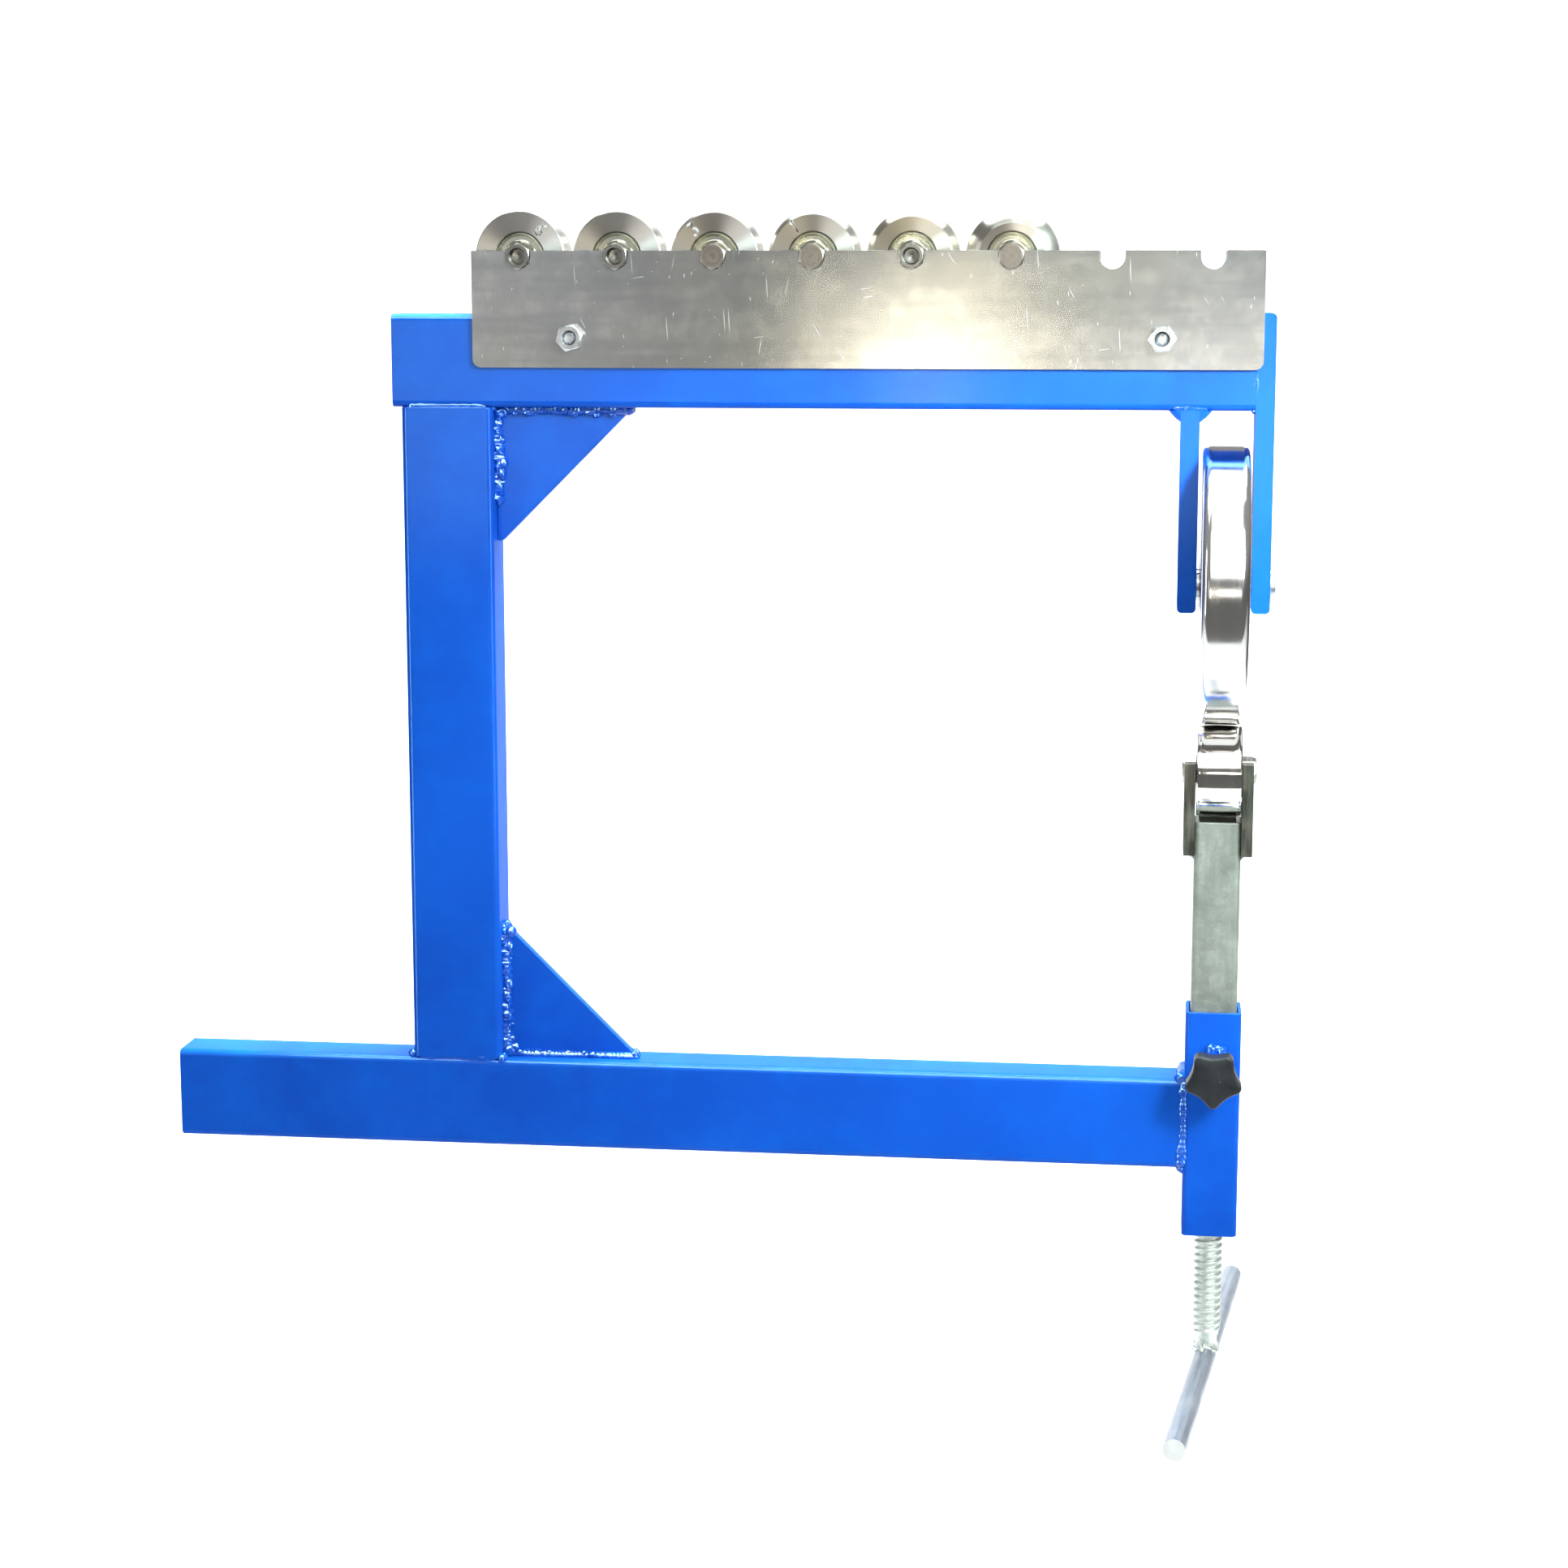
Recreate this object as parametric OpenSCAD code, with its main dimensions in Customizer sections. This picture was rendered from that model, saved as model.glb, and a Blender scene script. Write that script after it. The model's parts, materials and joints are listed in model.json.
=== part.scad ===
// Bench english wheel: a welded tube C-frame that is gripped by its lower arm,
// a large upper wheel in a fork, a small lower anvil on a screw-lifted post,
// and six spare anvils that hang in a notched rack on the upper arm.
// X runs along the arms towards the wheels, Y from front to back, Z up.
// The origin is the middle of the gripped stretch, on the lower arm's underside.

/* [Frame tube] */
// Height of the arm tube, which is also the width of the column
tube_h = 50; // [44:1:60]
// Depth of the tube from front to back
tube_d = 30; // [26:1:36]
// Wall of the tube
tube_wall = 2.5; // [2:0.5:3]
// Outer corner radius of the tube
tube_r = 3.5; // [3.5:0.5:5]
// Clear height between the two arms
arm_gap = 363; // [340:1:400]
// Throat, from the face of the column to the middle of the wheels
throat = 395; // [380:1:440]
// From the column's inner face to the middle of the gripped stretch
grip_offset = 115; // [90:1:130]
// Stub of the lower arm beyond the column
stub_len = 136; // [60:1:200]
// Upper arm's end beyond the column
arm_overhang = 4.5; // [0:0.5:10]

/* [Gussets] */
// Leg of the triangular gusset plates
gusset_leg = 73; // [50:1:90]
// Thickness of the gusset plates
gusset_t = 6; // [4:1:10]
// Blunt tip of the gusset plates
gusset_blunt = 3; // [2:0.5:6]

/* [Fork] */
// Gap between the two fork plates
fork_gap = 29; // [28:0.5:34]
// Thickness of the fork plates
fork_t = 10; // [8:1:12]
// Outer fork plate's end above the upper arm's top
fork_rise = 1; // [0:0.5:3]
// From the upper arm's underside to the bottom of the fork
fork_drop = 107; // [100:1:120]
// From the upper arm's underside to the upper wheel's axle
axle_drop = 93; // [88:1:96]
// Corner radius of the fork plates' ends
fork_r = 2.5; // [1:0.5:4]

/* [Upper wheel] */
// Diameter of the upper wheel
wheel_d = 150; // [130:1:160]
// Width of the upper wheel
wheel_w = 25; // [23:0.5:27]
// Rounded edge of the upper wheel's tread
wheel_edge = 4.5; // [2:0.5:6]
// Bore of the upper wheel's bearings, and the axle in them
axle_d = 12; // [10:1:14]
// Outer diameter of the upper wheel's bearings
wheel_bearing_d = 32; // [28:1:36]
// Width of each of the upper wheel's bearings
wheel_bearing_w = 10; // [7:1:11]
// Wall of the spacer rings beside the upper wheel's bearings
spacer_wall = 2.5; // [1.5:0.5:4]
// Head of the axle bolt outside the fork
axle_head_d = 18; // [17:1:22]
// Height of the axle bolt's low head
axle_head_h = 3; // [2:0.5:5]

/* [Anvils] */
// Diameter of the lower anvils at the middle of the crown
anvil_d = 50; // [46:1:52]
// Width of the anvils
anvil_w = 24; // [22:0.5:24]
// Crown radius of the anvil in the cradle
work_crown = 250; // [100:10:400]
// Crown radii of the six spare anvils, from the flattest to the roundest
rack_crowns = [75, 55, 42, 28, 20, 13.5];
// Outer diameter of the anvil bearings
anvil_bearing_d = 26; // [24:1:28]
// Width of each anvil bearing
anvil_bearing_w = 8; // [6:1:9]
// Shaft of the anvils inside the bearings
pin_d = 10; // [8:1:11]
// Round ends of the anvil axles, which drop into the notches
pin_end_d = 13; // [12.5:0.5:14]
// Overall length of an anvil's axle
pin_len = 40; // [38:0.5:42]
// Hexagon socket in the ends of the anvil axles, across its flats
pin_socket = 6; // [4:1:8]
// Depth of the sockets
pin_socket_depth = 3; // [2:0.5:5]
// Diameter of the thin washers beside the anvil bearings
pin_washer_d = 17; // [15:1:20]
// Gap between the upper wheel and the anvil in its cradle
nip = 0.5; // [0.3:0.1:2]

/* [Post and cradle] */
// Width of the square post
post_w = 25; // [24:0.5:25]
// Wall of the post
post_wall = 2.5; // [2:0.5:3]
// Corner radius of the post
post_r = 3; // [3:0.5:4]
// Length of the post
post_len = 158; // [150:1:165]
// Free height between the post's top and the anvil
post_to_anvil = 2; // [1:0.5:4]
// Thickness of the two cradle plates
cradle_t = 6; // [4:0.5:8]
// Depth of the cradle plates from front to back
cradle_w = 30; // [26:1:36]
// Height of the cradle plates above the anvil's axle
cradle_top = 5.5; // [4:0.5:8]
// Height of the cradle plates below the anvil's axle
cradle_below = 45; // [42:1:60]
// Height of the plug in the post's lower end
plug_h = 12; // [10:1:16]

/* [Sleeve and lock] */
// Outer width of the square sleeve
sleeve_w = 30; // [30:0.5:34]
// Wall of the sleeve
sleeve_wall = 2; // [1.5:0.5:2]
// Corner radius of the sleeve
sleeve_r = 3; // [3:0.5:4]
// Sleeve's end above the lower arm
sleeve_up = 38; // [32:1:60]
// Sleeve's end below the lower arm
sleeve_down = 38; // [28:1:60]
// Height of the threaded nut in the sleeve's lower end
nut_h = 16; // [12:1:18]
// Height of the lock screw above the lower arm's top
lock_up = 9; // [8:1:20]
// Diameter of the lock screw
lock_d = 8; // [6:1:10]
// Across the flats of the welded lock nut
lock_nut_af = 13; // [13:1:17]
// Height of the welded lock nut
lock_nut_h = 7; // [5:1:10]
// From the sleeve's face to the front of the knob
knob_reach = 35; // [30:1:45]
// Diameter of the star knob over its lobes
knob_d = 31; // [28:1:36]
// Rounded tip of each lobe
knob_tip_r = 3.5; // [2.5:0.5:4]
// Depth of the hollows between the lobes
knob_dip = 3.4; // [3.4:0.1:5]
// Thickness of the knob's star
knob_h = 12; // [8:1:16]
// Number of lobes
knob_lobes = 5; // [5:1:7]
// Diameter of the hub behind the star
knob_hub_d = 15; // [12:1:18]
// Length of the hub behind the star
knob_hub_h = 4; // [2:1:6]

/* [Lift screw and handle] */
// Major diameter of the lift screw
screw_d = 16; // [12:1:18]
// Depth of the undercut between the thread and the journal
undercut = 2.1; // [1:0.1:2.5]
// Length of the undercut
undercut_h = 4; // [2:0.5:6]
// From the sleeve's end to the end of the thread below it, at rest
thread_below = 60; // [30:1:90]
// Journal at the screw's top, which turns in the post's plug
journal_d = 10; // [8:1:11]
// Length of the journal
journal_h = 7; // [5:1:8]
// Diameter of the neck below the thread
neck_d = 12.5; // [11:0.5:14]
// Length of the neck, down to the top of the bar
neck_h = 7; // [5:1:12]
// Diameter of the handle bar
bar_d = 12; // [10:1:16]
// Length of the handle bar
bar_len = 290; // [200:2:320]
// From the screw's axis to the middle of the bar, towards its near end
bar_shift = 2; // [0:1:10]
// Angle that the bar is turned to at rest
bar_turn = 7; // [0:1:20]
// Height of the weld round the bar and the neck
bar_weld = 3; // [2:0.5:4]

/* [Anvil rack] */
// Thickness of the rack plates
rack_t = 3; // [2:0.5:4]
// Height of the rack plates
rack_h = 62; // [55:1:70]
// Rack plates' height above the upper arm
rack_up = 33.5; // [30:0.5:44]
// From the column's inner face back to the rack's left end
rack_back = 9; // [0:1:20]
// Right end of the rack, beyond the middle of the wheels
rack_reach = 18; // [16:1:30]
// Corner radius of the rack plates' lower corners
rack_r = 4.5; // [2:0.5:8]
// From the rack's left end to the first notch
notch_first = 25.5; // [20:0.5:40]
// Distance between notches
notch_pitch = 52.8; // [52.5:0.1:53.4]
// Number of notches
notch_count = 8; // [6:1:8]
// Depth of an anvil's axle below the rack's top edge
notch_depth = 3; // [1:0.5:6]
// Diameter of the bolts that hold the rack
rack_bolt_d = 8; // [6:1:10]
// Across the flats of the rack bolts' heads and nuts
rack_bolt_af = 13; // [13:1:17]
// Height of the rack bolts' nuts
rack_nut_h = 6.5; // [5:0.5:9]
// Height of the rack bolts' heads
rack_head_h = 5.3; // [4:0.1:7]
// End of the rack bolts beyond their nuts
rack_bolt_out = 1; // [0:0.5:4]
// From the rack's left end to the first bolt
rack_bolt_first = 54; // [30:1:80]
// Distance between the rack bolts
rack_bolt_span = 315; // [250:1:320]
// Height of the rack bolts above the rack plates' lower edge
rack_bolt_up = 16; // [11:1:26]

/* [Welds] */
// Leg of the heavy fillets beside the inner fork plate
fork_weld = 6; // [3:0.5:8]
// Leg of the fillets along the gussets
gusset_weld = 4; // [2:0.5:6]
// Leg of the fillets above and below the arm at the sleeve
sleeve_weld = 4.5; // [2:0.5:6]
// Leg of the small fillet inside the outer fork plate
corner_weld = 2; // [1:0.5:4]

/* [Clearances] */
// Radial clearance of a turning shaft in its bore
run_clear = 0.05; // [0.02:0.01:0.08]
// Radial clearance of a bolt in a drilled hole
bolt_clear = 0.2; // [0.1:0.05:0.4]
// Clearance of an anvil axle in its notch
notch_clear = 0.3; // [0.25:0.05:0.4]
// Clearance of a side face that runs beside another
face_clear = 0.1; // [0.05:0.05:0.2]

/* [Hidden] */
$fn = 64;
// overlap of fused solids, and the length of a cut beyond the faces it goes through
eps = 0.01;
over = 1;
// the fork plates are as deep as the arm, flush with its front and back
fork_w = tube_d;
// depth of a bearing's shield below its rings, its inner edge and its width,
// both as a share of the bearing's own depth
shield_drop = 0.3;
shield_edge = 0.14;
shield_share = 0.24;
// step between the two bearing seats of a wheel and of an anvil
wheel_lip = 2;
anvil_lip = 0.5;
// the axle's shoulders stay this far inside the cradle plates and the rack
shoulder_gap = 0.02;
// thin upper edge of the weld round the handle's neck, and its start above the bar's middle
weld_edge = 0.8;
weld_start = 1;
// welds across the tubes stop this far inside their faces
weld_inset = 1;
weld_len = tube_d - 2 * weld_inset;
// stations along X
col_face = -grip_offset;
col_back = col_face - tube_h;
wheel_x = col_face + throat;
stub_x = col_back - stub_len;
arm_end_low = wheel_x - sleeve_w / 2;
arm_end_up = wheel_x + fork_gap / 2;
// heights
arm_top = tube_h;
up_z = arm_top + arm_gap;
up_top = up_z + tube_h;
axle_z = up_z - axle_drop;
fork_z = up_z - fork_drop;
work_z = axle_z - wheel_d / 2 - nip - anvil_d / 2;
// upper wheel's axle, its spacers and bearings
spacer_t = (fork_gap - wheel_w) / 2 - face_clear;
spacer_d = axle_d + 2 * spacer_wall;
// anvil axle stations, measured from the middle of the anvil
pin_washer_in = anvil_w / 2 + face_clear;
pin_shoulder = post_w / 2 - shoulder_gap;
notch_r = pin_end_d / 2 + notch_clear;
// post and cradle
post_top = work_z - anvil_d / 2 - post_to_anvil;
post_low = post_top - post_len;
cradle_z = work_z - cradle_below;
// sleeve, nut and lock
sleeve_low = -sleeve_down;
sleeve_top = arm_top + sleeve_up;
sleeve_in = sleeve_w - 2 * sleeve_wall;
lock_z = arm_top + lock_up;
lock_gap = 0.1;
knob_face = -sleeve_w / 2 - knob_reach;
// lift screw and handle
thread_end = sleeve_low - thread_below;
bar_z = thread_end - neck_h - bar_d / 2;
journal_tip = post_low + journal_h;
undercut_z = post_low - undercut_h;
// rack
rack_x = col_face - rack_back;
rack_end = wheel_x + rack_reach;
rack_top = up_top + rack_up;
rack_low = rack_top - rack_h;
rack_axle_z = rack_top - notch_depth;
rack_bolt_x = [rack_x + rack_bolt_first, rack_x + rack_bolt_first + rack_bolt_span];
rack_bolt_z = rack_low + rack_bolt_up;
// star knob: the hollow's circle touches both neighbouring lobes' tip circles
knob_c = knob_d / 2 - knob_tip_r;
knob_a = 180 / knob_lobes;
knob_valley = knob_d / 2 - knob_dip;
knob_k = knob_valley - knob_tip_r;
knob_s = (knob_c * knob_c - knob_k * knob_k) / (2 * (knob_c * cos(knob_a) - knob_k));
knob_hollow = knob_s - knob_valley;
knob_touch = knob_tip_r / (knob_tip_r + knob_hollow);
knob_tx = knob_c + knob_touch * (knob_s * cos(knob_a) - knob_c);
knob_ty = knob_touch * knob_s * sin(knob_a);
knob_web = sqrt(knob_tx * knob_tx + knob_ty * knob_ty);

function notch_x(i) = rack_x + notch_first + i * notch_pitch;

// rectangle with rounded corners, about its middle
module rounded_rect(w, h, r) {
  square([w - 2 * r, h], center = true);
  square([w, h - 2 * r], center = true);
  for (x = [-1, 1], y = [-1, 1]) {
    translate([x * (w / 2 - r), y * (h / 2 - r)]) circle(r = r, $fn = 32);
  }
}

// section of a rectangular tube
module tube_section(w, h, r, wall) {
  difference() {
    rounded_rect(w, h, r);
    rounded_rect(w - 2 * wall, h - 2 * wall, r - wall);
  }
}

// upright hexagonal prism measured across its flats
module hex(af, h) {
  cylinder(r = af / sqrt(3), h = h, $fn = 6);
}

// turns an upright shape's axis to X, starting at x = 0
module along_x() {
  rotate([90, 0, 90]) children();
}

// turns an upright shape's axis to Y, starting at y = 0 and running to the back
module along_y() {
  rotate([-90, 0, 0]) children();
}

// three-sided fillet along +X, its right angle at the origin, legs along Y and Z
module fillet_x(leg, len, sy, sz) {
  along_x() linear_extrude(len) polygon([[0, 0], [sy * leg, 0], [0, sz * leg]]);
}

// three-sided fillet along Y, middled, legs along X and Z
module fillet_y(leg, len, sx, sz) {
  rotate([90, 0, 0]) linear_extrude(len, center = true)
    polygon([[0, 0], [sx * leg, 0], [0, sz * leg]]);
}

module lower_arm() {
  color("royalblue")
  translate([stub_x, 0, tube_h / 2]) along_x()
    linear_extrude(arm_end_low - stub_x) tube_section(tube_d, tube_h, tube_r, tube_wall);
}

module column() {
  color("royalblue")
  translate([col_face - tube_h / 2, 0, arm_top])
    linear_extrude(arm_gap) tube_section(tube_h, tube_d, tube_r, tube_wall);
}

module upper_arm() {
  color("royalblue")
  difference() {
    translate([col_back - arm_overhang, 0, up_z + tube_h / 2]) along_x()
      linear_extrude(arm_end_up - col_back + arm_overhang)
        tube_section(tube_d, tube_h, tube_r, tube_wall);
    for (x = rack_bolt_x) {
      translate([x, -tube_d, rack_bolt_z]) along_y()
        cylinder(d = rack_bolt_d + 2 * bolt_clear, h = 2 * tube_d);
    }
  }
}

// triangular plate with blunt tips, its right angle at the origin
module gusset() {
  rotate([90, 0, 0]) linear_extrude(gusset_t, center = true)
    polygon([
      [0, 0], [gusset_leg, 0], [gusset_leg, gusset_blunt],
      [gusset_blunt, gusset_leg], [0, gusset_leg]
    ]);
}

module lower_gusset() {
  color("royalblue") translate([col_face, 0, arm_top]) gusset();
}

module upper_gusset() {
  color("royalblue") translate([col_face, 0, up_z]) mirror([0, 0, 1]) gusset();
}

// flat fork plate seen from the front: rounded at the bottom, and at the top if asked
module fork_profile(h, round_top) {
  translate([fork_t / 2, h / 2]) rounded_rect(fork_t, h, fork_r);
  if (!round_top) translate([0, h / 2]) square([fork_t, h / 2]);
}

module fork_inner_plate() {
  color("royalblue")
  difference() {
    translate([wheel_x - fork_gap / 2 - fork_t, 0, fork_z])
      rotate([90, 0, 0]) linear_extrude(fork_w, center = true)
        fork_profile(up_z - fork_z, false);
    translate([wheel_x - fork_gap / 2 - fork_t - over, 0, axle_z]) rotate([0, 90, 0])
      cylinder(d = axle_d + 2 * run_clear, h = fork_t + 2 * over);
  }
}

module fork_outer_plate() {
  color("royalblue")
  difference() {
    translate([arm_end_up, 0, fork_z])
      rotate([90, 0, 0]) linear_extrude(fork_w, center = true)
        fork_profile(up_top + fork_rise - fork_z, true);
    translate([arm_end_up - over, 0, axle_z]) rotate([0, 90, 0])
      cylinder(d = axle_d + 2 * run_clear, h = fork_t + 2 * over);
  }
}

module frame_welds() {
  color("royalblue") {
    // both sides of the inner fork plate, and inside the outer one
    translate([wheel_x - fork_gap / 2 - fork_t, 0, up_z]) fillet_y(fork_weld, weld_len, -1, -1);
    translate([wheel_x - fork_gap / 2, 0, up_z]) fillet_y(fork_weld, weld_len, 1, -1);
    translate([arm_end_up, 0, up_z]) fillet_y(corner_weld, weld_len, -1, -1);
    // both sides of each gusset, along the arm and along the column
    for (s = [-1, 1]) {
      translate([col_face, s * gusset_t / 2, arm_top]) {
        fillet_x(gusset_weld, gusset_leg, s, 1);
        linear_extrude(gusset_leg) polygon([[0, 0], [gusset_weld, 0], [0, s * gusset_weld]]);
      }
      translate([col_face, s * gusset_t / 2, up_z]) {
        fillet_x(gusset_weld, gusset_leg, s, -1);
        translate([0, 0, -gusset_leg]) linear_extrude(gusset_leg)
          polygon([[0, 0], [gusset_weld, 0], [0, s * gusset_weld]]);
      }
    }
    // arm to sleeve, above and below
    translate([arm_end_low, 0, arm_top]) fillet_y(sleeve_weld, weld_len, -1, 1);
    translate([arm_end_low, 0, 0]) fillet_y(sleeve_weld, weld_len, -1, -1);
  }
}

module sleeve() {
  color("royalblue")
  difference() {
    translate([wheel_x, 0, sleeve_low]) linear_extrude(sleeve_top - sleeve_low)
      tube_section(sleeve_w, sleeve_w, sleeve_r, sleeve_wall);
    translate([wheel_x, -sleeve_w, lock_z]) along_y()
      cylinder(d = lock_d + 2 * run_clear, h = sleeve_w);
  }
}

module sleeve_nut() {
  color("slategray")
  translate([wheel_x, 0, sleeve_low]) difference() {
    linear_extrude(nut_h) rounded_rect(sleeve_in, sleeve_in, sleeve_r - sleeve_wall);
    translate([0, 0, -over]) cylinder(d = screw_d + 2 * run_clear, h = nut_h + 2 * over);
  }
}

module lock_nut() {
  color("royalblue")
  translate([wheel_x, -sleeve_w / 2 - lock_nut_h, lock_z]) along_y() difference() {
    hex(lock_nut_af, lock_nut_h);
    translate([0, 0, -over]) cylinder(d = lock_d + 2 * run_clear, h = lock_nut_h + 2 * over);
  }
}

// plate of the rack, seen from the front: lower corners rounded, notches in the top
module rack_profile() {
  difference() {
    union() {
      translate([rack_x, rack_low + rack_r]) square([rack_end - rack_x, rack_h - rack_r]);
      translate([rack_x + rack_r, rack_low])
        square([rack_end - rack_x - 2 * rack_r, rack_h / 2]);
      for (x = [rack_x + rack_r, rack_end - rack_r]) {
        translate([x, rack_low + rack_r]) circle(r = rack_r, $fn = 32);
      }
    }
    for (i = [0 : notch_count - 1]) {
      translate([notch_x(i), rack_axle_z]) circle(r = notch_r);
      translate([notch_x(i) - notch_r, rack_axle_z]) square([2 * notch_r, 2 * notch_depth]);
    }
    for (x = rack_bolt_x) {
      translate([x, rack_bolt_z]) circle(d = rack_bolt_d + 2 * bolt_clear);
    }
  }
}

module rack_front_plate() {
  color("silver") translate([0, -tube_d / 2, 0])
    rotate([90, 0, 0]) linear_extrude(rack_t) rack_profile();
}

module rack_rear_plate() {
  color("silver") translate([0, tube_d / 2 + rack_t, 0])
    rotate([90, 0, 0]) linear_extrude(rack_t) rack_profile();
}

module rack_bolts() {
  color("gainsboro")
  for (x = rack_bolt_x) {
    translate([x, 0, rack_bolt_z]) {
      translate([0, tube_d / 2 + rack_t, 0]) along_y() hex(rack_bolt_af, rack_head_h);
      translate([0, -tube_d / 2 - rack_t - rack_nut_h - rack_bolt_out, 0]) along_y()
        cylinder(d = rack_bolt_d, h = tube_d + 2 * rack_t + rack_nut_h + rack_bolt_out + eps);
    }
  }
}

module rack_nuts() {
  color("gainsboro")
  for (x = rack_bolt_x) {
    translate([x, -tube_d / 2 - rack_t - rack_nut_h, rack_bolt_z]) along_y() difference() {
      hex(rack_bolt_af, rack_nut_h);
      translate([0, 0, -over])
        cylinder(d = rack_bolt_d + 2 * run_clear, h = rack_nut_h + 2 * over);
    }
  }
}

module upper_axle() {
  color("silver")
  translate([wheel_x, 0, axle_z]) rotate([0, 90, 0]) {
    translate([0, 0, -fork_gap / 2 - fork_t])
      cylinder(d = axle_d, h = fork_gap + 2 * fork_t + eps);
    translate([0, 0, fork_gap / 2 + fork_t]) cylinder(d = axle_head_d, h = axle_head_h);
  }
}

module axle_spacers() {
  color("gainsboro")
  for (s = [-1, 1]) {
    translate([wheel_x + s * (fork_gap / 2 - spacer_t / 2), 0, axle_z]) rotate([0, 90, 0])
      difference() {
        cylinder(d = spacer_d, h = spacer_t, center = true);
        cylinder(d = axle_d + 2 * run_clear, h = spacer_t + 2 * over, center = true);
      }
  }
}

// ball bearing about Z, with a shallow shield between its two rings
module bearing(outer, bore, w) {
  rotate_extrude() difference() {
    translate([bore / 2, -w / 2]) square([(outer - bore) / 2, w]);
    for (s = [-1, 1]) {
      translate([bore / 2 + (outer - bore) * shield_edge, s * w / 2 - shield_drop])
        square([(outer - bore) * shield_share, 2 * shield_drop]);
    }
  }
}

module upper_wheel() {
  color("whitesmoke")
  translate([wheel_x, 0, axle_z]) rotate([0, 90, 0]) rotate_extrude($fn = 128)
    difference() {
      union() {
        translate([0, -wheel_w / 2]) square([wheel_d / 2 - wheel_edge, wheel_w]);
        translate([0, -wheel_w / 2 + wheel_edge])
          square([wheel_d / 2, wheel_w - 2 * wheel_edge]);
        for (s = [-1, 1]) {
          translate([wheel_d / 2 - wheel_edge, s * (wheel_w / 2 - wheel_edge)])
            circle(r = wheel_edge, $fn = 32);
        }
      }
      translate([0, -wheel_w]) square([wheel_bearing_d / 2 - wheel_lip, 2 * wheel_w]);
      for (s = [-1, 1]) {
        translate([0, s * wheel_w / 2 - wheel_bearing_w])
          square([wheel_bearing_d / 2, 2 * wheel_bearing_w]);
      }
    }
}

module upper_wheel_bearings() {
  color("dimgray")
  for (s = [-1, 1]) {
    translate([wheel_x + s * (wheel_w - wheel_bearing_w) / 2, 0, axle_z]) rotate([0, 90, 0])
      bearing(wheel_bearing_d, axle_d + 2 * run_clear, wheel_bearing_w);
  }
}

// anvil ring about Z with its crown and its two bearing seats
module anvil_ring(crown) {
  rotate_extrude($fn = 96) difference() {
    intersection() {
      translate([0, -anvil_w / 2]) square([anvil_d / 2, anvil_w]);
      translate([anvil_d / 2 - crown, 0]) circle(r = crown, $fn = 256);
    }
    translate([0, -anvil_w]) square([anvil_bearing_d / 2 - anvil_lip, 2 * anvil_w]);
    for (s = [-1, 1]) {
      translate([0, s * anvil_w / 2 - anvil_bearing_w])
        square([anvil_bearing_d / 2, 2 * anvil_bearing_w]);
    }
  }
}

module anvil_bearings() {
  for (s = [-1, 1]) {
    translate([0, 0, s * (anvil_w - anvil_bearing_w) / 2])
      bearing(anvil_bearing_d, pin_d + 2 * run_clear, anvil_bearing_w);
  }
}

// axle of an anvil about Z: shaft, thin washers, round ends with sockets
module anvil_pin() {
  difference() {
    union() {
      cylinder(d = pin_d, h = 2 * pin_shoulder, center = true);
      for (s = [-1, 1]) {
        translate([0, 0, s * (pin_washer_in + pin_shoulder) / 2])
          cylinder(d = pin_washer_d, h = pin_shoulder - pin_washer_in, center = true);
        translate([0, 0, s * (pin_shoulder + pin_len / 2) / 2])
          cylinder(d = pin_end_d, h = pin_len / 2 - pin_shoulder + eps, center = true);
      }
    }
    for (s = [-1, 1]) {
      translate([0, 0, s * pin_len / 2 - pin_socket_depth]) hex(pin_socket, 2 * pin_socket_depth);
    }
  }
}

// the anvils' places: the cradle's runs along X, the rack's along Y
module at_work() {
  translate([wheel_x, 0, work_z]) rotate([0, 90, 0]) children();
}

module at_notch(i) {
  translate([notch_x(i), 0, rack_axle_z]) rotate([90, 0, 0]) children();
}

module work_axle() { color("silver") at_work() anvil_pin(); }
module work_anvil() { color("whitesmoke") at_work() anvil_ring(work_crown); }
module work_anvil_bearings() { color("dimgray") at_work() anvil_bearings(); }

module post() {
  color("darkseagreen")
  translate([wheel_x, 0, post_low]) linear_extrude(post_len)
    tube_section(post_w, post_w, post_r, post_wall);
}

module post_plug() {
  plug_w = post_w - 2 * post_wall;
  color("gray")
  translate([wheel_x, 0, post_low]) difference() {
    linear_extrude(plug_h) rounded_rect(plug_w, plug_w, post_r - post_wall);
    translate([0, 0, -over])
      cylinder(d = journal_d + 2 * run_clear, h = journal_h + face_clear + over);
  }
}

// cradle plate seen from the side: an open slot for the anvil's axle in its top
module cradle_plate() {
  difference() {
    translate([0, -cradle_w / 2, cradle_z])
      cube([cradle_t, cradle_w, work_z + cradle_top - cradle_z]);
    translate([-over, 0, work_z]) rotate([0, 90, 0])
      cylinder(r = notch_r, h = cradle_t + 2 * over);
    translate([-over, -notch_r, work_z])
      cube([cradle_t + 2 * over, 2 * notch_r, 2 * cradle_top]);
  }
}

module cradle_left_plate() {
  color("silver") translate([wheel_x - post_w / 2 - cradle_t, 0, 0]) cradle_plate();
}

module cradle_right_plate() {
  color("silver") translate([wheel_x + post_w / 2, 0, 0]) cradle_plate();
}

// fillets under the cradle plates, against the post's two sides
module cradle_welds() {
  color("gray")
  for (s = [-1, 1]) {
    translate([wheel_x + s * post_w / 2, 0, cradle_z])
      fillet_y(cradle_t / 2, post_w - 2 * post_r, s, -1);
  }
}

// handle bar across the screw's axis, a little longer towards the front
module bar() {
  translate([0, 0, bar_z]) rotate([90, 0, -bar_turn]) translate([0, 0, bar_shift])
    cylinder(d = bar_d, h = bar_len, center = true);
}

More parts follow.
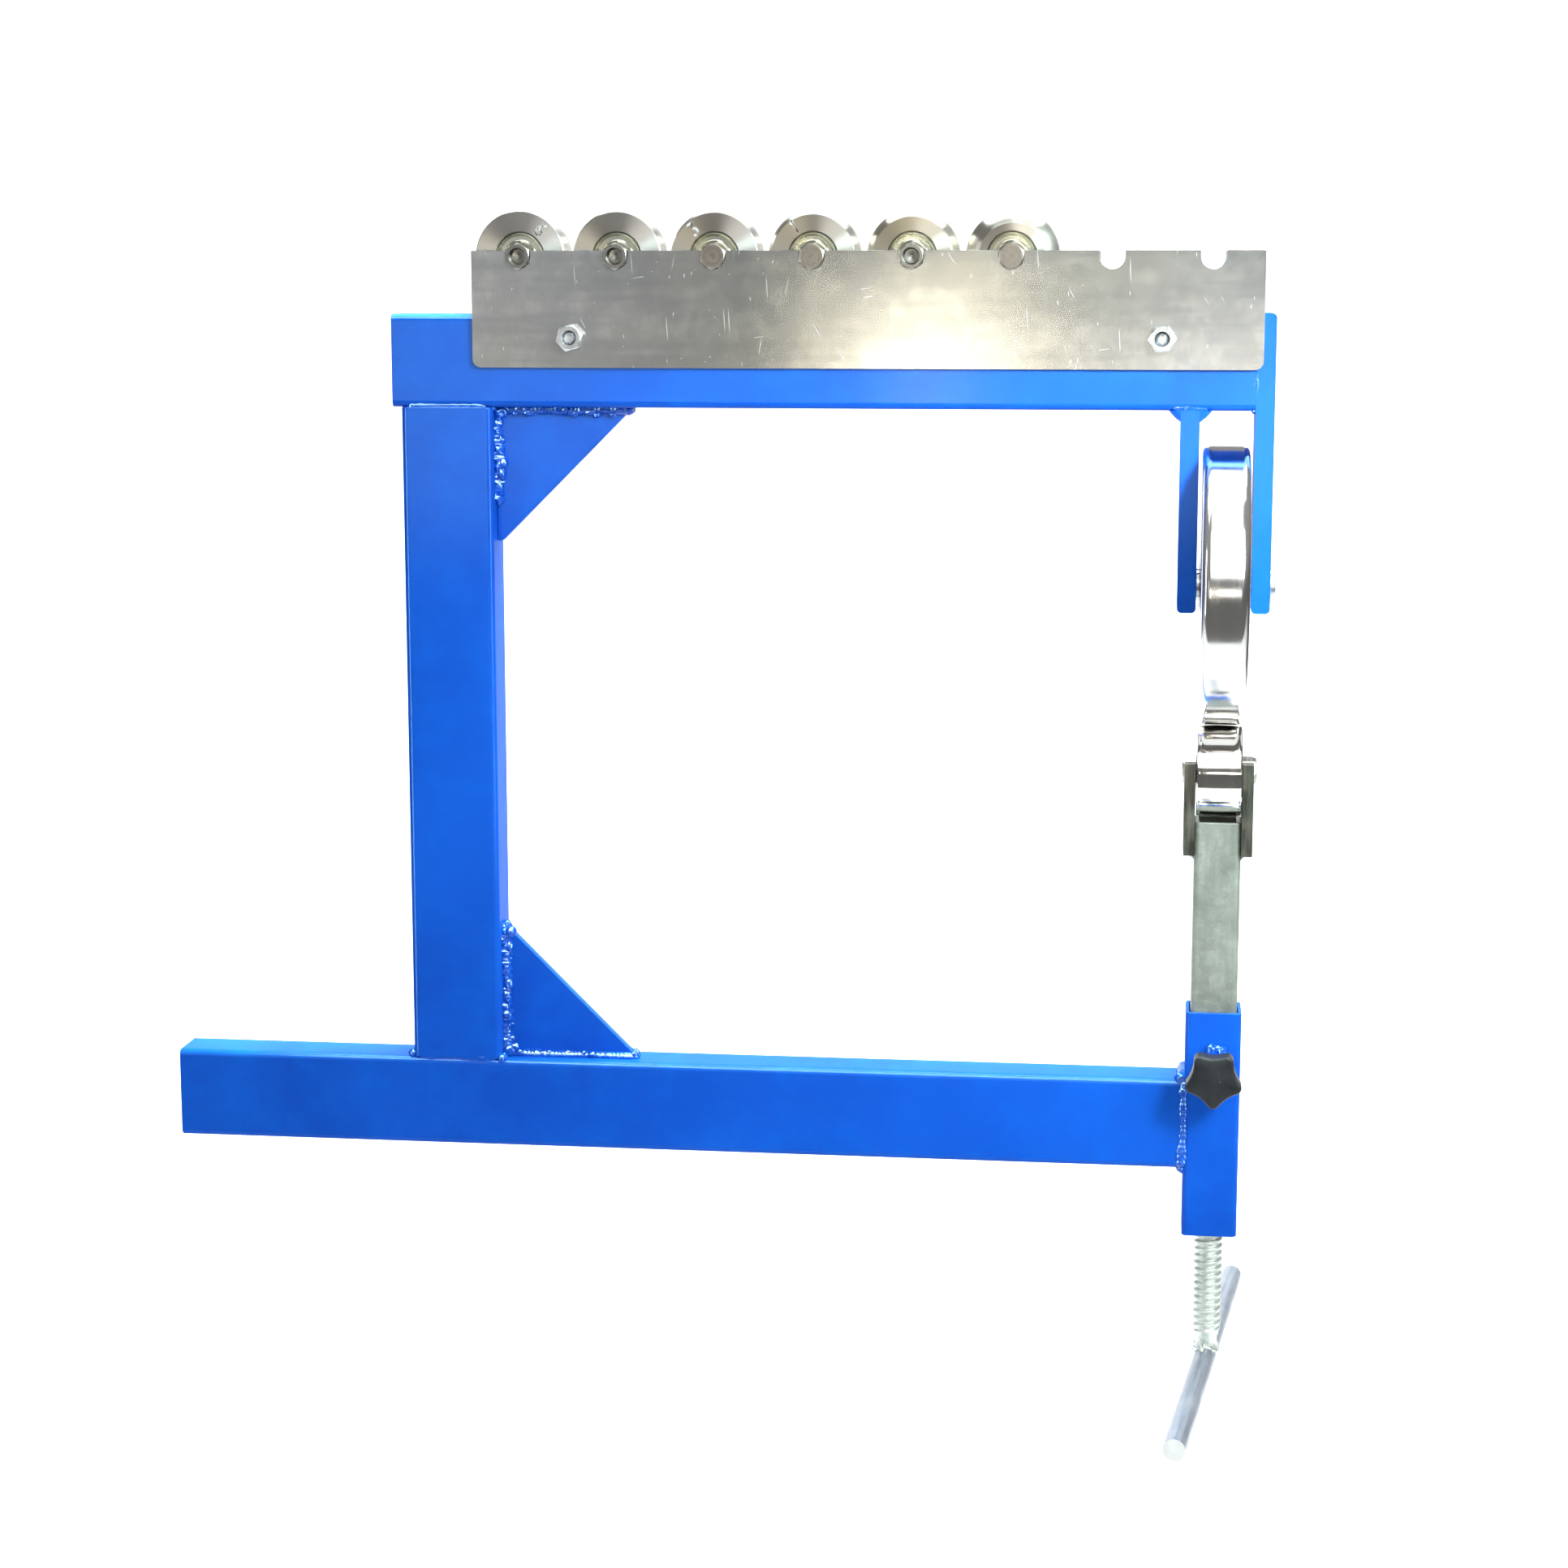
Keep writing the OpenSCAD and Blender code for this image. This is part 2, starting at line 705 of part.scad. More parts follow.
module lift_screw() {
  color("lightgray")
  translate([wheel_x, 0, 0]) difference() {
    union() {
      translate([0, 0, undercut_z])
        cylinder(d = screw_d - 2 * undercut, h = undercut_h - face_clear);
      translate([0, 0, undercut_z]) cylinder(d = journal_d, h = journal_tip - undercut_z);
      translate([0, 0, thread_end]) cylinder(d = screw_d, h = undercut_z - thread_end);
      translate([0, 0, bar_z]) cylinder(d = neck_d, h = thread_end - bar_z + eps);
    }
    bar();
    translate([-neck_d, -neck_d, bar_z - bar_d]) cube([2 * neck_d, 2 * neck_d, bar_d]);
  }
}

module handle_bar() {
  color("lightsteelblue") translate([wheel_x, 0, 0]) bar();
}

// weld collar that joins the neck to the bar
module handle_weld() {
  color("silver")
  translate([wheel_x, 0, 0]) difference() {
    translate([0, 0, bar_z + weld_start])
      cylinder(r1 = neck_d / 2 + bar_weld, r2 = neck_d / 2 + weld_edge, h = bar_d / 2 + bar_weld);
    translate([0, 0, bar_z]) cylinder(d = neck_d, h = bar_d + bar_weld);
    bar();
  }
}

// star outline whose hollows run smoothly into the round lobe tips
module knob_profile() {
  difference() {
    circle(r = knob_web);
    for (i = [0 : knob_lobes - 1]) {
      rotate((2 * i + 1) * knob_a) translate([knob_s, 0]) circle(r = knob_hollow);
    }
  }
  for (i = [0 : knob_lobes - 1]) {
    rotate(2 * i * knob_a) translate([knob_c, 0]) circle(r = knob_tip_r, $fn = 32);
  }
}

module lock_knob() {
  color("dimgray")
  translate([wheel_x, knob_face, lock_z]) along_y() {
    difference() {
      union() {
        rotate(90) linear_extrude(knob_h) knob_profile();
        translate([0, 0, knob_h - eps]) cylinder(d = knob_hub_d, h = knob_hub_h);
      }
      translate([0, 0, knob_h / 2]) cylinder(d = lock_d, h = knob_h + knob_hub_h);
    }
  }
}

module lock_stud() {
  color("silver")
  translate([wheel_x, knob_face + knob_h / 2, lock_z]) along_y()
    cylinder(d = lock_d, h = -post_w / 2 - lock_gap - knob_face - knob_h / 2);
}

module anvil_1_axle() { color("silver") at_notch(0) anvil_pin(); }
module anvil_2_axle() { color("silver") at_notch(1) anvil_pin(); }
module anvil_3_axle() { color("silver") at_notch(2) anvil_pin(); }
module anvil_4_axle() { color("silver") at_notch(3) anvil_pin(); }
module anvil_5_axle() { color("silver") at_notch(4) anvil_pin(); }
module anvil_6_axle() { color("silver") at_notch(5) anvil_pin(); }
module anvil_1() { color("whitesmoke") at_notch(0) anvil_ring(rack_crowns[0]); }
module anvil_2() { color("whitesmoke") at_notch(1) anvil_ring(rack_crowns[1]); }
module anvil_3() { color("whitesmoke") at_notch(2) anvil_ring(rack_crowns[2]); }
module anvil_4() { color("whitesmoke") at_notch(3) anvil_ring(rack_crowns[3]); }
module anvil_5() { color("whitesmoke") at_notch(4) anvil_ring(rack_crowns[4]); }
module anvil_6() { color("whitesmoke") at_notch(5) anvil_ring(rack_crowns[5]); }
module anvil_1_bearings() { color("dimgray") at_notch(0) anvil_bearings(); }
module anvil_2_bearings() { color("dimgray") at_notch(1) anvil_bearings(); }
module anvil_3_bearings() { color("dimgray") at_notch(2) anvil_bearings(); }
module anvil_4_bearings() { color("dimgray") at_notch(3) anvil_bearings(); }
module anvil_5_bearings() { color("dimgray") at_notch(4) anvil_bearings(); }
module anvil_6_bearings() { color("dimgray") at_notch(5) anvil_bearings(); }

lower_arm();
column();
upper_arm();
lower_gusset();
upper_gusset();
fork_inner_plate();
fork_outer_plate();
frame_welds();
sleeve();
sleeve_nut();
lock_nut();
rack_front_plate();
rack_rear_plate();
rack_bolts();
rack_nuts();
upper_axle();
axle_spacers();
upper_wheel();
upper_wheel_bearings();
post();
post_plug();
cradle_left_plate();
cradle_right_plate();
cradle_welds();
work_axle();
work_anvil();
work_anvil_bearings();
lift_screw();
handle_bar();
handle_weld();
lock_knob();
lock_stud();
anvil_1_axle();
anvil_1();
anvil_1_bearings();
anvil_2_axle();
anvil_2();
anvil_2_bearings();
anvil_3_axle();
anvil_3();
anvil_3_bearings();
anvil_4_axle();
anvil_4();
anvil_4_bearings();
anvil_5_axle();
anvil_5();
anvil_5_bearings();
anvil_6_axle();
anvil_6();
anvil_6_bearings();
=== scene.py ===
"""A vise-held english wheel: welded frame, polished wheels, notched anvil rack and a screw-lifted post."""
import json
import math
import random

import bmesh
import bpy
from mathutils import Matrix, Vector, noise

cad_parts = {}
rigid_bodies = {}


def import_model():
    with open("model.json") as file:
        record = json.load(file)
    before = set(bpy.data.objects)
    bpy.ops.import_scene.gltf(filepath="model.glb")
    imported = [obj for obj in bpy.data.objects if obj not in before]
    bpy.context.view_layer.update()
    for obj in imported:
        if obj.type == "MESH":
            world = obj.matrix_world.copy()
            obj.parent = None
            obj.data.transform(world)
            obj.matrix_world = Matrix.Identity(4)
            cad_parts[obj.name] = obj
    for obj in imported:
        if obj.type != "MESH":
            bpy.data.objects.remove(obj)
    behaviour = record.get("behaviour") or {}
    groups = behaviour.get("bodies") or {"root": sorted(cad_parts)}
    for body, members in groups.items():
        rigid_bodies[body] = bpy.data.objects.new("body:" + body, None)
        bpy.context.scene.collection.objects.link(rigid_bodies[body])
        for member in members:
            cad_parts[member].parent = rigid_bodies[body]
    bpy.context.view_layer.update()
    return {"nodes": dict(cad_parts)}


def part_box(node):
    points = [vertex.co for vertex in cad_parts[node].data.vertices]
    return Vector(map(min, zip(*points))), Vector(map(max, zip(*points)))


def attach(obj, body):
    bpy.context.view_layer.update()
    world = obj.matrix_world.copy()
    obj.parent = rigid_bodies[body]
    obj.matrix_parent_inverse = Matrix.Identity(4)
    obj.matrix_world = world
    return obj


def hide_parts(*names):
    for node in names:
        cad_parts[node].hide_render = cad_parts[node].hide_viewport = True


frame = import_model()
NODES = frame["nodes"]
BAR_TURN = math.radians(7.0)


def fill_ramp(ramp, stops):
    """Put stops of (place, colour) on a colour ramp."""
    while len(ramp.elements) < len(stops):
        ramp.elements.new(0.5)
    for element, (place, color) in zip(ramp.elements, stops):
        element.position = place
        element.color = (*color, 1)


# node materials
class Graph:
    """The node tree of a material or a world, with short calls for the nodes that the finishes share."""

    def __init__(self, owner, shader="Principled BSDF"):
        owner.use_nodes = True
        self.owner = owner
        self.tree = owner.node_tree
        self.shader = self.tree.nodes[shader]
        self.coord = self.node("TexCoord").outputs["Object"]

    def link(self, a, b):
        self.tree.links.new(a, b)

    def feed(self, socket, value):
        if hasattr(value, "is_output"):
            self.link(value, socket)
        else:
            socket.default_value = value

    def node(self, kind, **values):
        """A new node, each of whose inputs is linked or set by its name."""
        n = self.tree.nodes.new("ShaderNode" + kind)
        for key, value in values.items():
            self.feed(n.inputs[key.replace("_", " ")], value)
        return n

    def set(self, **values):
        for key, value in values.items():
            self.feed(self.shader.inputs[key.replace("_", " ")], value)

    def mapped(self, scale=(1, 1, 1), move=(0, 0, 0), turn=(0, 0, 0), source=None):
        n = self.node("Mapping", Vector=source or self.coord, Scale=scale, Location=move, Rotation=turn)
        return n.outputs["Vector"]

    def noise(self, scale, detail=4, rough=0.55, vec=None, distort=0.0):
        n = self.node("TexNoise", Vector=vec or self.coord, Scale=scale, Detail=detail)
        self.feed(n.inputs["Roughness"], rough)
        self.feed(n.inputs["Distortion"], distort)
        return n.outputs["Fac"]

    def ramp(self, fac, stops):
        n = self.node("ValToRGB", Fac=fac)
        fill_ramp(n.color_ramp, [(place, (grey, grey, grey)) for place, grey in stops])
        return n.outputs["Color"]

    def span(self, fac, a, b, lo=0.0, hi=1.0):
        n = self.node("MapRange", Value=fac, From_Min=a, From_Max=b, To_Min=lo, To_Max=hi)
        return n.outputs["Result"]

    def math(self, op, a, b=0.0):
        n = self.node("Math")
        n.operation = op
        self.feed(n.inputs[0], a)
        self.feed(n.inputs[1], b)
        return n.outputs["Value"]

    def mix(self, fac, a, b):
        n = self.node("Mix")
        n.data_type = "RGBA"
        self.feed(n.inputs["Factor"], fac)
        for key, value in (("A", a), ("B", b)):
            socket = [s for s in n.inputs if s.name == key and s.type == "RGBA"][0]
            self.feed(socket, (*value, 1) if isinstance(value, tuple) else value)
        return [s for s in n.outputs if s.type == "RGBA"][0]

    def tone(self, base, fac, lo, hi, top, color):
        """A colour over the base where a texture runs from lo to hi, up to the share top."""
        return self.mix(self.span(fac, lo, hi, 0.0, top), base, color)

    def marked(self, base, marks, share, color):
        """A colour over the base on marks that run from 0 to 1."""
        return self.mix(self.math("MULTIPLY", marks, share), base, color)

    def strokes(self, pitch, length, keep, turn=0.0, seed=0.0, width=0.10):
        """Tapered hairline scratches on a plate that faces Y; pitch and length are one cell's size."""
        flat = self.mapped(turn=(math.pi / 2, 0.0, 0.0))
        bend = self.mapped(turn=(0.0, 0.0, turn), move=(seed, seed * 0.7, 0.0), source=flat)
        vec = self.mapped(scale=(1.0 / pitch, 1.0 / length, 1.0), source=bend)
        n = self.node("TexVoronoi", Vector=vec, Scale=1.0)
        n.voronoi_dimensions = "2D"
        pick = self.node("SeparateColor", Color=n.outputs["Color"])
        line = self.span(n.outputs["Distance"], width * 0.4, width, 1.0, 0.0)
        kept = self.math("GREATER_THAN", pick.outputs["Red"], 1.0 - keep)
        faint = self.span(pick.outputs["Green"], 0.0, 1.0, 0.25, 1.0)
        return self.math("MULTIPLY", self.math("MULTIPLY", line, kept), faint)

    def bump(self, height, strength, distance, before=None):
        n = self.node("Bump", Height=height, Strength=strength, Distance=distance)
        if before:
            self.link(before, n.inputs["Normal"])
        return n.outputs["Normal"]

    def radius(self, centre, axis):
        """Distance from an axis, and the place along it, in metres."""
        n = self.node("SeparateXYZ", Vector=self.mapped(move=tuple(-c for c in centre)))
        squares = [self.math("POWER", n.outputs[k], 2.0) for k in "XYZ" if k != axis]
        return self.math("SQRT", self.math("ADD", *squares)), n.outputs[axis]

    def combine(self, x, y):
        return self.node("CombineXYZ", X=x, Y=y).outputs["Vector"]

    def out(self, color, rough, normal, metal):
        self.set(Base_Color=color, Roughness=rough, Normal=normal, Metallic=metal)
        return self.owner


def surface(name):
    """The node tree of a new material."""
    return Graph(bpy.data.materials.new(name))


def blue_paint(name, lumps=0.0, film=0.12, coat=0.20):
    """Gloss blue enamel: slow shade changes, dust in the film, a faint orange peel."""
    g = surface(name)
    slow = g.noise(7.0, 3, 0.5)
    cloud = g.noise(38.0, 5, 0.6)
    base = g.mix(g.span(slow, 0.35, 0.65), (0.0056, 0.059, 0.39), (0.0076, 0.082, 0.49))
    base = g.tone(base, cloud, 0.45, 0.75, 0.35, (0.006, 0.115, 0.60))
    dust = g.ramp(g.noise(2600.0, 2, 0.5), [(0.72, 0.0), (0.80, 1.0)])
    base = g.marked(base, dust, 0.22, (0.16, 0.36, 0.86))
    rough = g.span(g.noise(60.0, 4, 0.6), 0.3, 0.7, 0.16, 0.27)
    peel = g.noise(340.0, 2, 0.4)
    wave = g.noise(55.0, 2, 0.5)
    normal = g.bump(wave, 0.22, 0.0006)
    normal = g.bump(peel, 0.10, 0.00025, normal)
    if lumps:
        normal = g.bump(g.noise(520.0, 3, 0.6), lumps, 0.0008, normal)
        normal = g.bump(g.noise(1500.0, 2, 0.5), lumps * 0.5, 0.0003, normal)
    g.set(Coat_Weight=coat, Coat_Roughness=film, Coat_IOR=1.45, Specular_IOR_Level=0.0)
    return g.out(base, rough, normal, 0.0)


def sheet_steel(name):
    """Bright rolled sheet, handled and scratched: hairlines, cloudy patches, small bruises and dust."""
    g = surface(name)
    patch = g.noise(14.0, 3, 0.5, distort=0.3)
    mottle = g.noise(75.0, 4, 0.6)
    smear = g.noise(1.0, 3, 0.55, g.mapped(scale=(9.0, 30.0, 90.0)))
    base = g.mix(g.span(patch, 0.35, 0.68), (0.43, 0.43, 0.44), (0.52, 0.51, 0.475))
    base = g.tone(base, mottle, 0.44, 0.66, 0.60, (0.62, 0.61, 0.58))
    base = g.tone(base, smear, 0.45, 0.66, 0.45, (0.34, 0.34, 0.35))
    grain = g.noise(300.0, 4, 0.7, g.mapped(scale=(6.0, 6.0, 0.35)))
    base = g.tone(base, grain, 0.4, 0.7, 0.22, (0.33, 0.33, 0.33))
    marks = g.strokes(0.0024, 0.110, 0.10, 0.06, 0.3, 0.07)
    for pitch, length, keep, turn, seed, width in (
        (0.0026, 0.070, 0.06, -0.20, 1.7, 0.08), (0.0028, 0.120, 0.05, -0.42, 2.9, 0.07),
        (0.0026, 0.060, 0.05, 0.50, 4.1, 0.07), (0.0020, 0.016, 0.05, 0.1, 5.3, 0.09),
        (0.0026, 0.0030, 0.02, 0.0, 6.7, 0.09), (0.060, 0.0022, 0.03, 0.15, 8.9, 0.08),
    ):
        marks = g.math("MAXIMUM", marks, g.strokes(pitch, length, keep, turn, seed, width))
    base = g.marked(base, marks, 0.75, (0.92, 0.92, 0.91))
    rough = g.math("ADD", g.span(patch, 0.3, 0.7, 0.15, 0.19), g.math("MULTIPLY", marks, 0.3))
    normal = g.bump(patch, 0.04, 0.0010)
    metal = g.span(marks, 0.0, 1.0, 0.90, 0.35)
    return g.out(base, rough, normal, metal)


def turned_steel(name, centre, axis, tint, low, high, rings, aniso=0.0):
    """Lathe-turned and polished steel: fine rings round its axis, faint stains, a few hairlines."""
    g = surface(name)
    r, along = g.radius(centre, axis)

    def turned(scale, detail, rough):
        place = g.combine(g.math("MULTIPLY", r, scale), g.math("MULTIPLY", along, scale))
        return g.noise(1.0, detail, rough, place)

    groove = turned(5200.0, 3, 0.7)
    broad = turned(620.0, 2, 0.5)
    stain = g.noise(60.0, 4, 0.6)
    dark = tuple(c * 0.72 for c in tint)
    base = g.tone(tint, stain, 0.5, 0.78, 0.5, dark)
    base = g.tone(base, groove, 0.45, 0.75, 0.14 * rings, dark)
    slant = g.mapped(scale=(700.0, 60.0, 320.0), turn=(0.3, 0.5, 0.2))
    hair = g.ramp(g.noise(1.0, 1, 0.4, slant), [(0.745, 0.0), (0.765, 1.0)])
    rough = g.math("ADD", g.span(broad, 0.3, 0.7, low, high), g.math("MULTIPLY", hair, 0.12))
    normal = g.bump(groove, 0.012 * rings, 0.00003)
    if aniso:
        g.set(Anisotropic=aniso, Anisotropic_Rotation=0.25)
        t = g.node("Tangent")
        t.direction_type = "RADIAL"
        t.axis = axis
        g.link(t.outputs["Tangent"], g.shader.inputs["Tangent"])
    return g.out(base, rough, normal, 1.0)


def zinc_coat(name, light, dark, cell, metal, rough, streak=None):
    """Galvanised or zinc-plated steel: small spangles, dull blotches and pale specks."""
    g = surface(name)
    spangle = g.node("TexVoronoi", Vector=g.coord, Scale=cell)
    tones = g.node("SeparateColor", Color=spangle.outputs["Color"])
    blot = g.noise(46.0, 6, 0.68, distort=0.6)
    fine = g.noise(900.0, 3, 0.6)
    base = g.mix(g.span(blot, 0.32, 0.68), dark, light)
    base = g.tone(base, tones.outputs["Red"], 0.0, 1.0, 0.34, tuple(c * 0.62 for c in dark))
    speck = g.ramp(fine, [(0.66, 0.0), (0.74, 1.0)])
    base = g.marked(base, speck, 0.5, (0.86, 0.88, 0.84))
    if streak:
        line = g.noise(1.0, 4, 0.6, g.mapped(scale=streak))
        base = g.tone(base, line, 0.42, 0.66, 0.55, tuple(c * 0.85 for c in dark))
    r = g.span(blot, 0.3, 0.7, rough[0], rough[1])
    normal = g.bump(blot, 0.25, 0.0005)
    normal = g.bump(fine, 0.16, 0.00018, normal)
    return g.out(base, r, normal, metal)


def bar_steel(name, turn):
    """Bare drawn bar, blue-grey, with streaks along it and a few rubbed spots."""
    g = surface(name)
    vec = g.mapped(turn=(0, 0, turn))
    line = g.noise(1.0, 5, 0.65, g.mapped(scale=(520.0, 14.0, 520.0), source=vec))
    blot = g.noise(34.0, 5, 0.62)
    base = g.mix(g.span(line, 0.35, 0.68), (0.20, 0.235, 0.295), (0.36, 0.40, 0.47))
    base = g.tone(base, blot, 0.50, 0.72, 0.6, (0.46, 0.49, 0.53))
    pit = g.ramp(g.noise(520.0, 3, 0.6), [(0.28, 1.0), (0.36, 0.0)])
    base = g.marked(base, pit, 0.5, (0.10, 0.11, 0.13))
    rough = g.span(blot, 0.3, 0.7, 0.30, 0.48)
    normal = g.bump(line, 0.12, 0.0002)
    normal = g.bump(pit, 0.15, -0.0002, normal)
    return g.out(base, rough, normal, 0.78)


def black_plastic(name):
    """Moulded black nylon: satin, fine grain, grey dust specks."""
    g = surface(name)
    grain = g.noise(1500.0, 3, 0.6)
    blot = g.noise(70.0, 4, 0.6)
    speck = g.ramp(g.noise(820.0, 2, 0.5), [(0.72, 0.0), (0.78, 1.0)])
    base = g.mix(g.span(blot, 0.35, 0.7), (0.005, 0.007, 0.009), (0.014, 0.017, 0.021))
    base = g.marked(base, speck, 0.5, (0.20, 0.22, 0.23))
    rough = g.span(blot, 0.3, 0.7, 0.36, 0.5)
    normal = g.bump(grain, 0.18, 0.0001)
    return g.out(base, rough, normal, 0.0)


def bright_zinc(name):
    """Fresh zinc plate on bolts and nuts: bright, a little blue, faint wrench marks."""
    g = surface(name)
    blot = g.noise(160.0, 5, 0.6)
    base = g.mix(g.span(blot, 0.35, 0.7), (0.60, 0.62, 0.64), (0.84, 0.86, 0.88))
    slant = g.mapped(scale=(900.0, 200.0, 260.0), turn=(0.2, 0.7, 0.1))
    mark = g.ramp(g.noise(1.0, 2, 0.5, slant), [(0.66, 0.0), (0.70, 1.0)])
    base = g.marked(base, mark, 0.5, (0.36, 0.37, 0.39))
    rough = g.span(blot, 0.3, 0.7, 0.20, 0.36)
    normal = g.bump(blot, 0.05, 0.0001)
    return g.out(base, rough, normal, 0.95)


def cut_plate(name, dark, light):
    """Sawn mild steel plate, dull, with upright saw marks and brown stains."""
    g = surface(name)
    saw = g.noise(1.0, 4, 0.6, g.mapped(scale=(260.0, 700.0, 30.0)))
    blot = g.noise(75.0, 5, 0.65)
    base = g.mix(g.span(saw, 0.35, 0.68), dark, light)
    base = g.tone(base, blot, 0.46, 0.70, 0.5, (0.24, 0.20, 0.145))
    rough = g.span(blot, 0.3, 0.7, 0.34, 0.52)
    normal = g.bump(saw, 0.25, 0.0003)
    return g.out(base, rough, normal, 0.8)


GALVANISED = ((0.465, 0.485, 0.435), (0.265, 0.285, 0.245))
PALE_ZINC = ((0.84, 0.88, 0.83), (0.60, 0.66, 0.60))
BARE_WELD = ((0.86, 0.89, 0.86), (0.58, 0.62, 0.58))
FRESH_SCRATCH = ((0.95, 0.92, 0.90), (0.84, 0.81, 0.79))
SAWN_END = ((0.92, 0.93, 0.93), (0.80, 0.81, 0.81))
M = {
    "paint": blue_paint("paint_blue"),
    "weld_paint": blue_paint("paint_blue_over_weld", 0.30, 0.06, 1.0),
    "sheet": sheet_steel("sheet_steel_scratched"),
    "zinc": bright_zinc("zinc_bright"),
    "post": zinc_coat("galvanised_post", *GALVANISED, 260.0, 0.45, (0.34, 0.52), (120.0, 120.0, 9.0)),
    "screw": zinc_coat("zinc_screw", *PALE_ZINC, 150.0, 0.70, (0.28, 0.42)),
    "weld_steel": zinc_coat("weld_bare", *BARE_WELD, 200.0, 0.75, (0.22, 0.4)),
    "scribed": zinc_coat("scribed_marks", *FRESH_SCRATCH, 300.0, 0.10, (0.5, 0.7)),
    "bar": bar_steel("bar_drawn", BAR_TURN),
    "knob": black_plastic("nylon_black"),
    "plate": cut_plate("plate_sawn", (0.055, 0.055, 0.042), (0.17, 0.17, 0.145)),
    "dark": cut_plate("steel_inside", (0.06, 0.06, 0.06), (0.15, 0.15, 0.145)),
}


# mesh helpers
def placed(name, data):
    """A new object in the scene."""
    obj = bpy.data.objects.new(name, data)
    bpy.context.scene.collection.objects.link(obj)
    return obj


def smooth(me):
    me.polygons.foreach_set("use_smooth", [True] * len(me.polygons))


def lumpy(x, y, z):
    """Smooth noise between -1 and 1 at a place."""
    return noise.noise(Vector((x, y, z)))


def make(name, mesh, body, mat, replaces=(), sharp=32.0):
    """A piece that rides on a body: sharp is the angle between faces from which an edge stays crisp."""
    verts, faces = mesh
    me = bpy.data.meshes.new(name)
    me.from_pydata([tuple(v) for v in verts], [], [tuple(f) for f in faces])
    me.validate()
    bm = bmesh.new()
    bm.from_mesh(me)
    bmesh.ops.remove_doubles(bm, verts=bm.verts, dist=1e-7)
    bmesh.ops.recalc_face_normals(bm, faces=bm.faces)
    bm.to_mesh(me)
    bm.free()
    smooth(me)
    me.set_sharp_from_angle(angle=math.radians(sharp))
    obj = placed(name, me)
    me.materials.append(mat)
    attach(obj, body)
    if replaces:
        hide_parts(*replaces)


def soften(obj, width, segments):
    """Rounds the sharp edges of a piece or CAD node without touching its own vertices."""
    weld = obj.modifiers.new("weld", "WELD")
    weld.merge_threshold = 2e-6
    mod = obj.modifiers.new("soft_edge", "BEVEL")
    mod.width = width
    mod.segments = segments
    mod.limit_method = "ANGLE"
    mod.angle_limit = math.radians(35.0)
    mod.miter_outer = "MITER_ARC"
    even = obj.modifiers.new("even_normals", "WEIGHTED_NORMAL")
    even.weight = 100
    even.keep_sharp = True


def around(axis, centre, r, a, t):
    """The point at radius r and angle a round an axis through centre, t along it."""
    c, s = math.cos(a), math.sin(a)
    p = {"X": (t, r * c, r * s), "Y": (r * c, t, r * s), "Z": (r * c, r * s, t)}[axis]
    return tuple(p[k] + centre[k] for k in range(3))


def spun(profile, axis, centre, steps=96, closed=True):
    """Vertices and faces of a profile of (radius, place along the axis), in metres, spun round the axis."""
    verts, faces = [], []
    for i in range(steps):
        a = math.tau * i / steps
        verts += [around(axis, centre, r, a, t) for r, t in profile]
    n = len(profile)
    for i in range(steps):
        j = (i + 1) % steps
        for k in range(n if closed else n - 1):
            m = (k + 1) % n
            if profile[k][0] < 1e-9 and profile[m][0] < 1e-9:
                continue
            faces.append((i * n + k, j * n + k, j * n + m, i * n + m))
    return verts, faces


def bridge(faces, low, high, n):
    """Faces between two rings of n vertices that start at low and high."""
    for k in range(n):
        m = (k + 1) % n
        faces.append((low + k, low + m, high + m, high + k))


def tube_faces(rows, n):
    """Faces of a tube of rows + 1 rings with n vertices each, closed at both ends."""
    faces = []
    for i in range(rows):
        bridge(faces, i * n, (i + 1) * n, n)
    return faces + [tuple(range(n)), tuple(rows * n + k for k in reversed(range(n)))]


def merged(*parts):
    """Several pairs of vertices and faces as one pair."""
    verts, faces = [], []
    for v, f in parts:
        base = len(verts)
        verts += list(v)
        faces += [tuple(i + base for i in face) for face in f]
    return verts, faces


def hex_nut(af, height, bore, axis, base, outward, turn, chamfer, hole=None):
    """A hexagon, af across its flats, with its outer face chamfered to a circle.

    base is the middle of its seat, and it grows along outward. hole is how deep its bore goes.
    """
    steps = 96
    circle = af / 2 * chamfer
    verts = []
    for i in range(steps):
        a = math.tau * i / steps
        rim = af / 2 / math.cos((a % (math.pi / 3)) - math.pi / 6)
        drop = max(0.0, (rim - circle) * 0.55)
        section = [(bore, height - (hole or 0.10 * bore)), (bore * 1.10, height), (circle, height)]
        section += [(rim, height - drop), (rim, 0.0)]
        verts += [around(axis, base, r, a + turn, t * outward) for r, t in section]
    return verts, spun(section, axis, base, steps)[1]


def dress(node, mat, bevel, segments=3):
    """Gives a CAD node its finish, and soft edges."""
    obj = NODES[node]
    obj.data.materials.clear()
    obj.data.materials.append(mat)
    for p in obj.data.polygons:
        p.material_index = 0
    if "custom_normal" in obj.data.attributes:
        obj.data.attributes.remove(obj.data.attributes["custom_normal"])
    smooth(obj.data)
    if bevel:
        soften(obj, bevel, segments)
    else:
        obj.data.set_sharp_from_angle(angle=math.radians(30))


def middle(node):
    lo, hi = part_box(node)
    return (lo + hi) / 2


# stations, all read from the frame
wheel_mid = middle("upper_wheel")
WX = wheel_mid.x
work_mid = middle("work_anvil")
low_lo, low_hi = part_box("lower_arm")
col_lo, col_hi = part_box("column")
sl_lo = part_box("sleeve")[0]

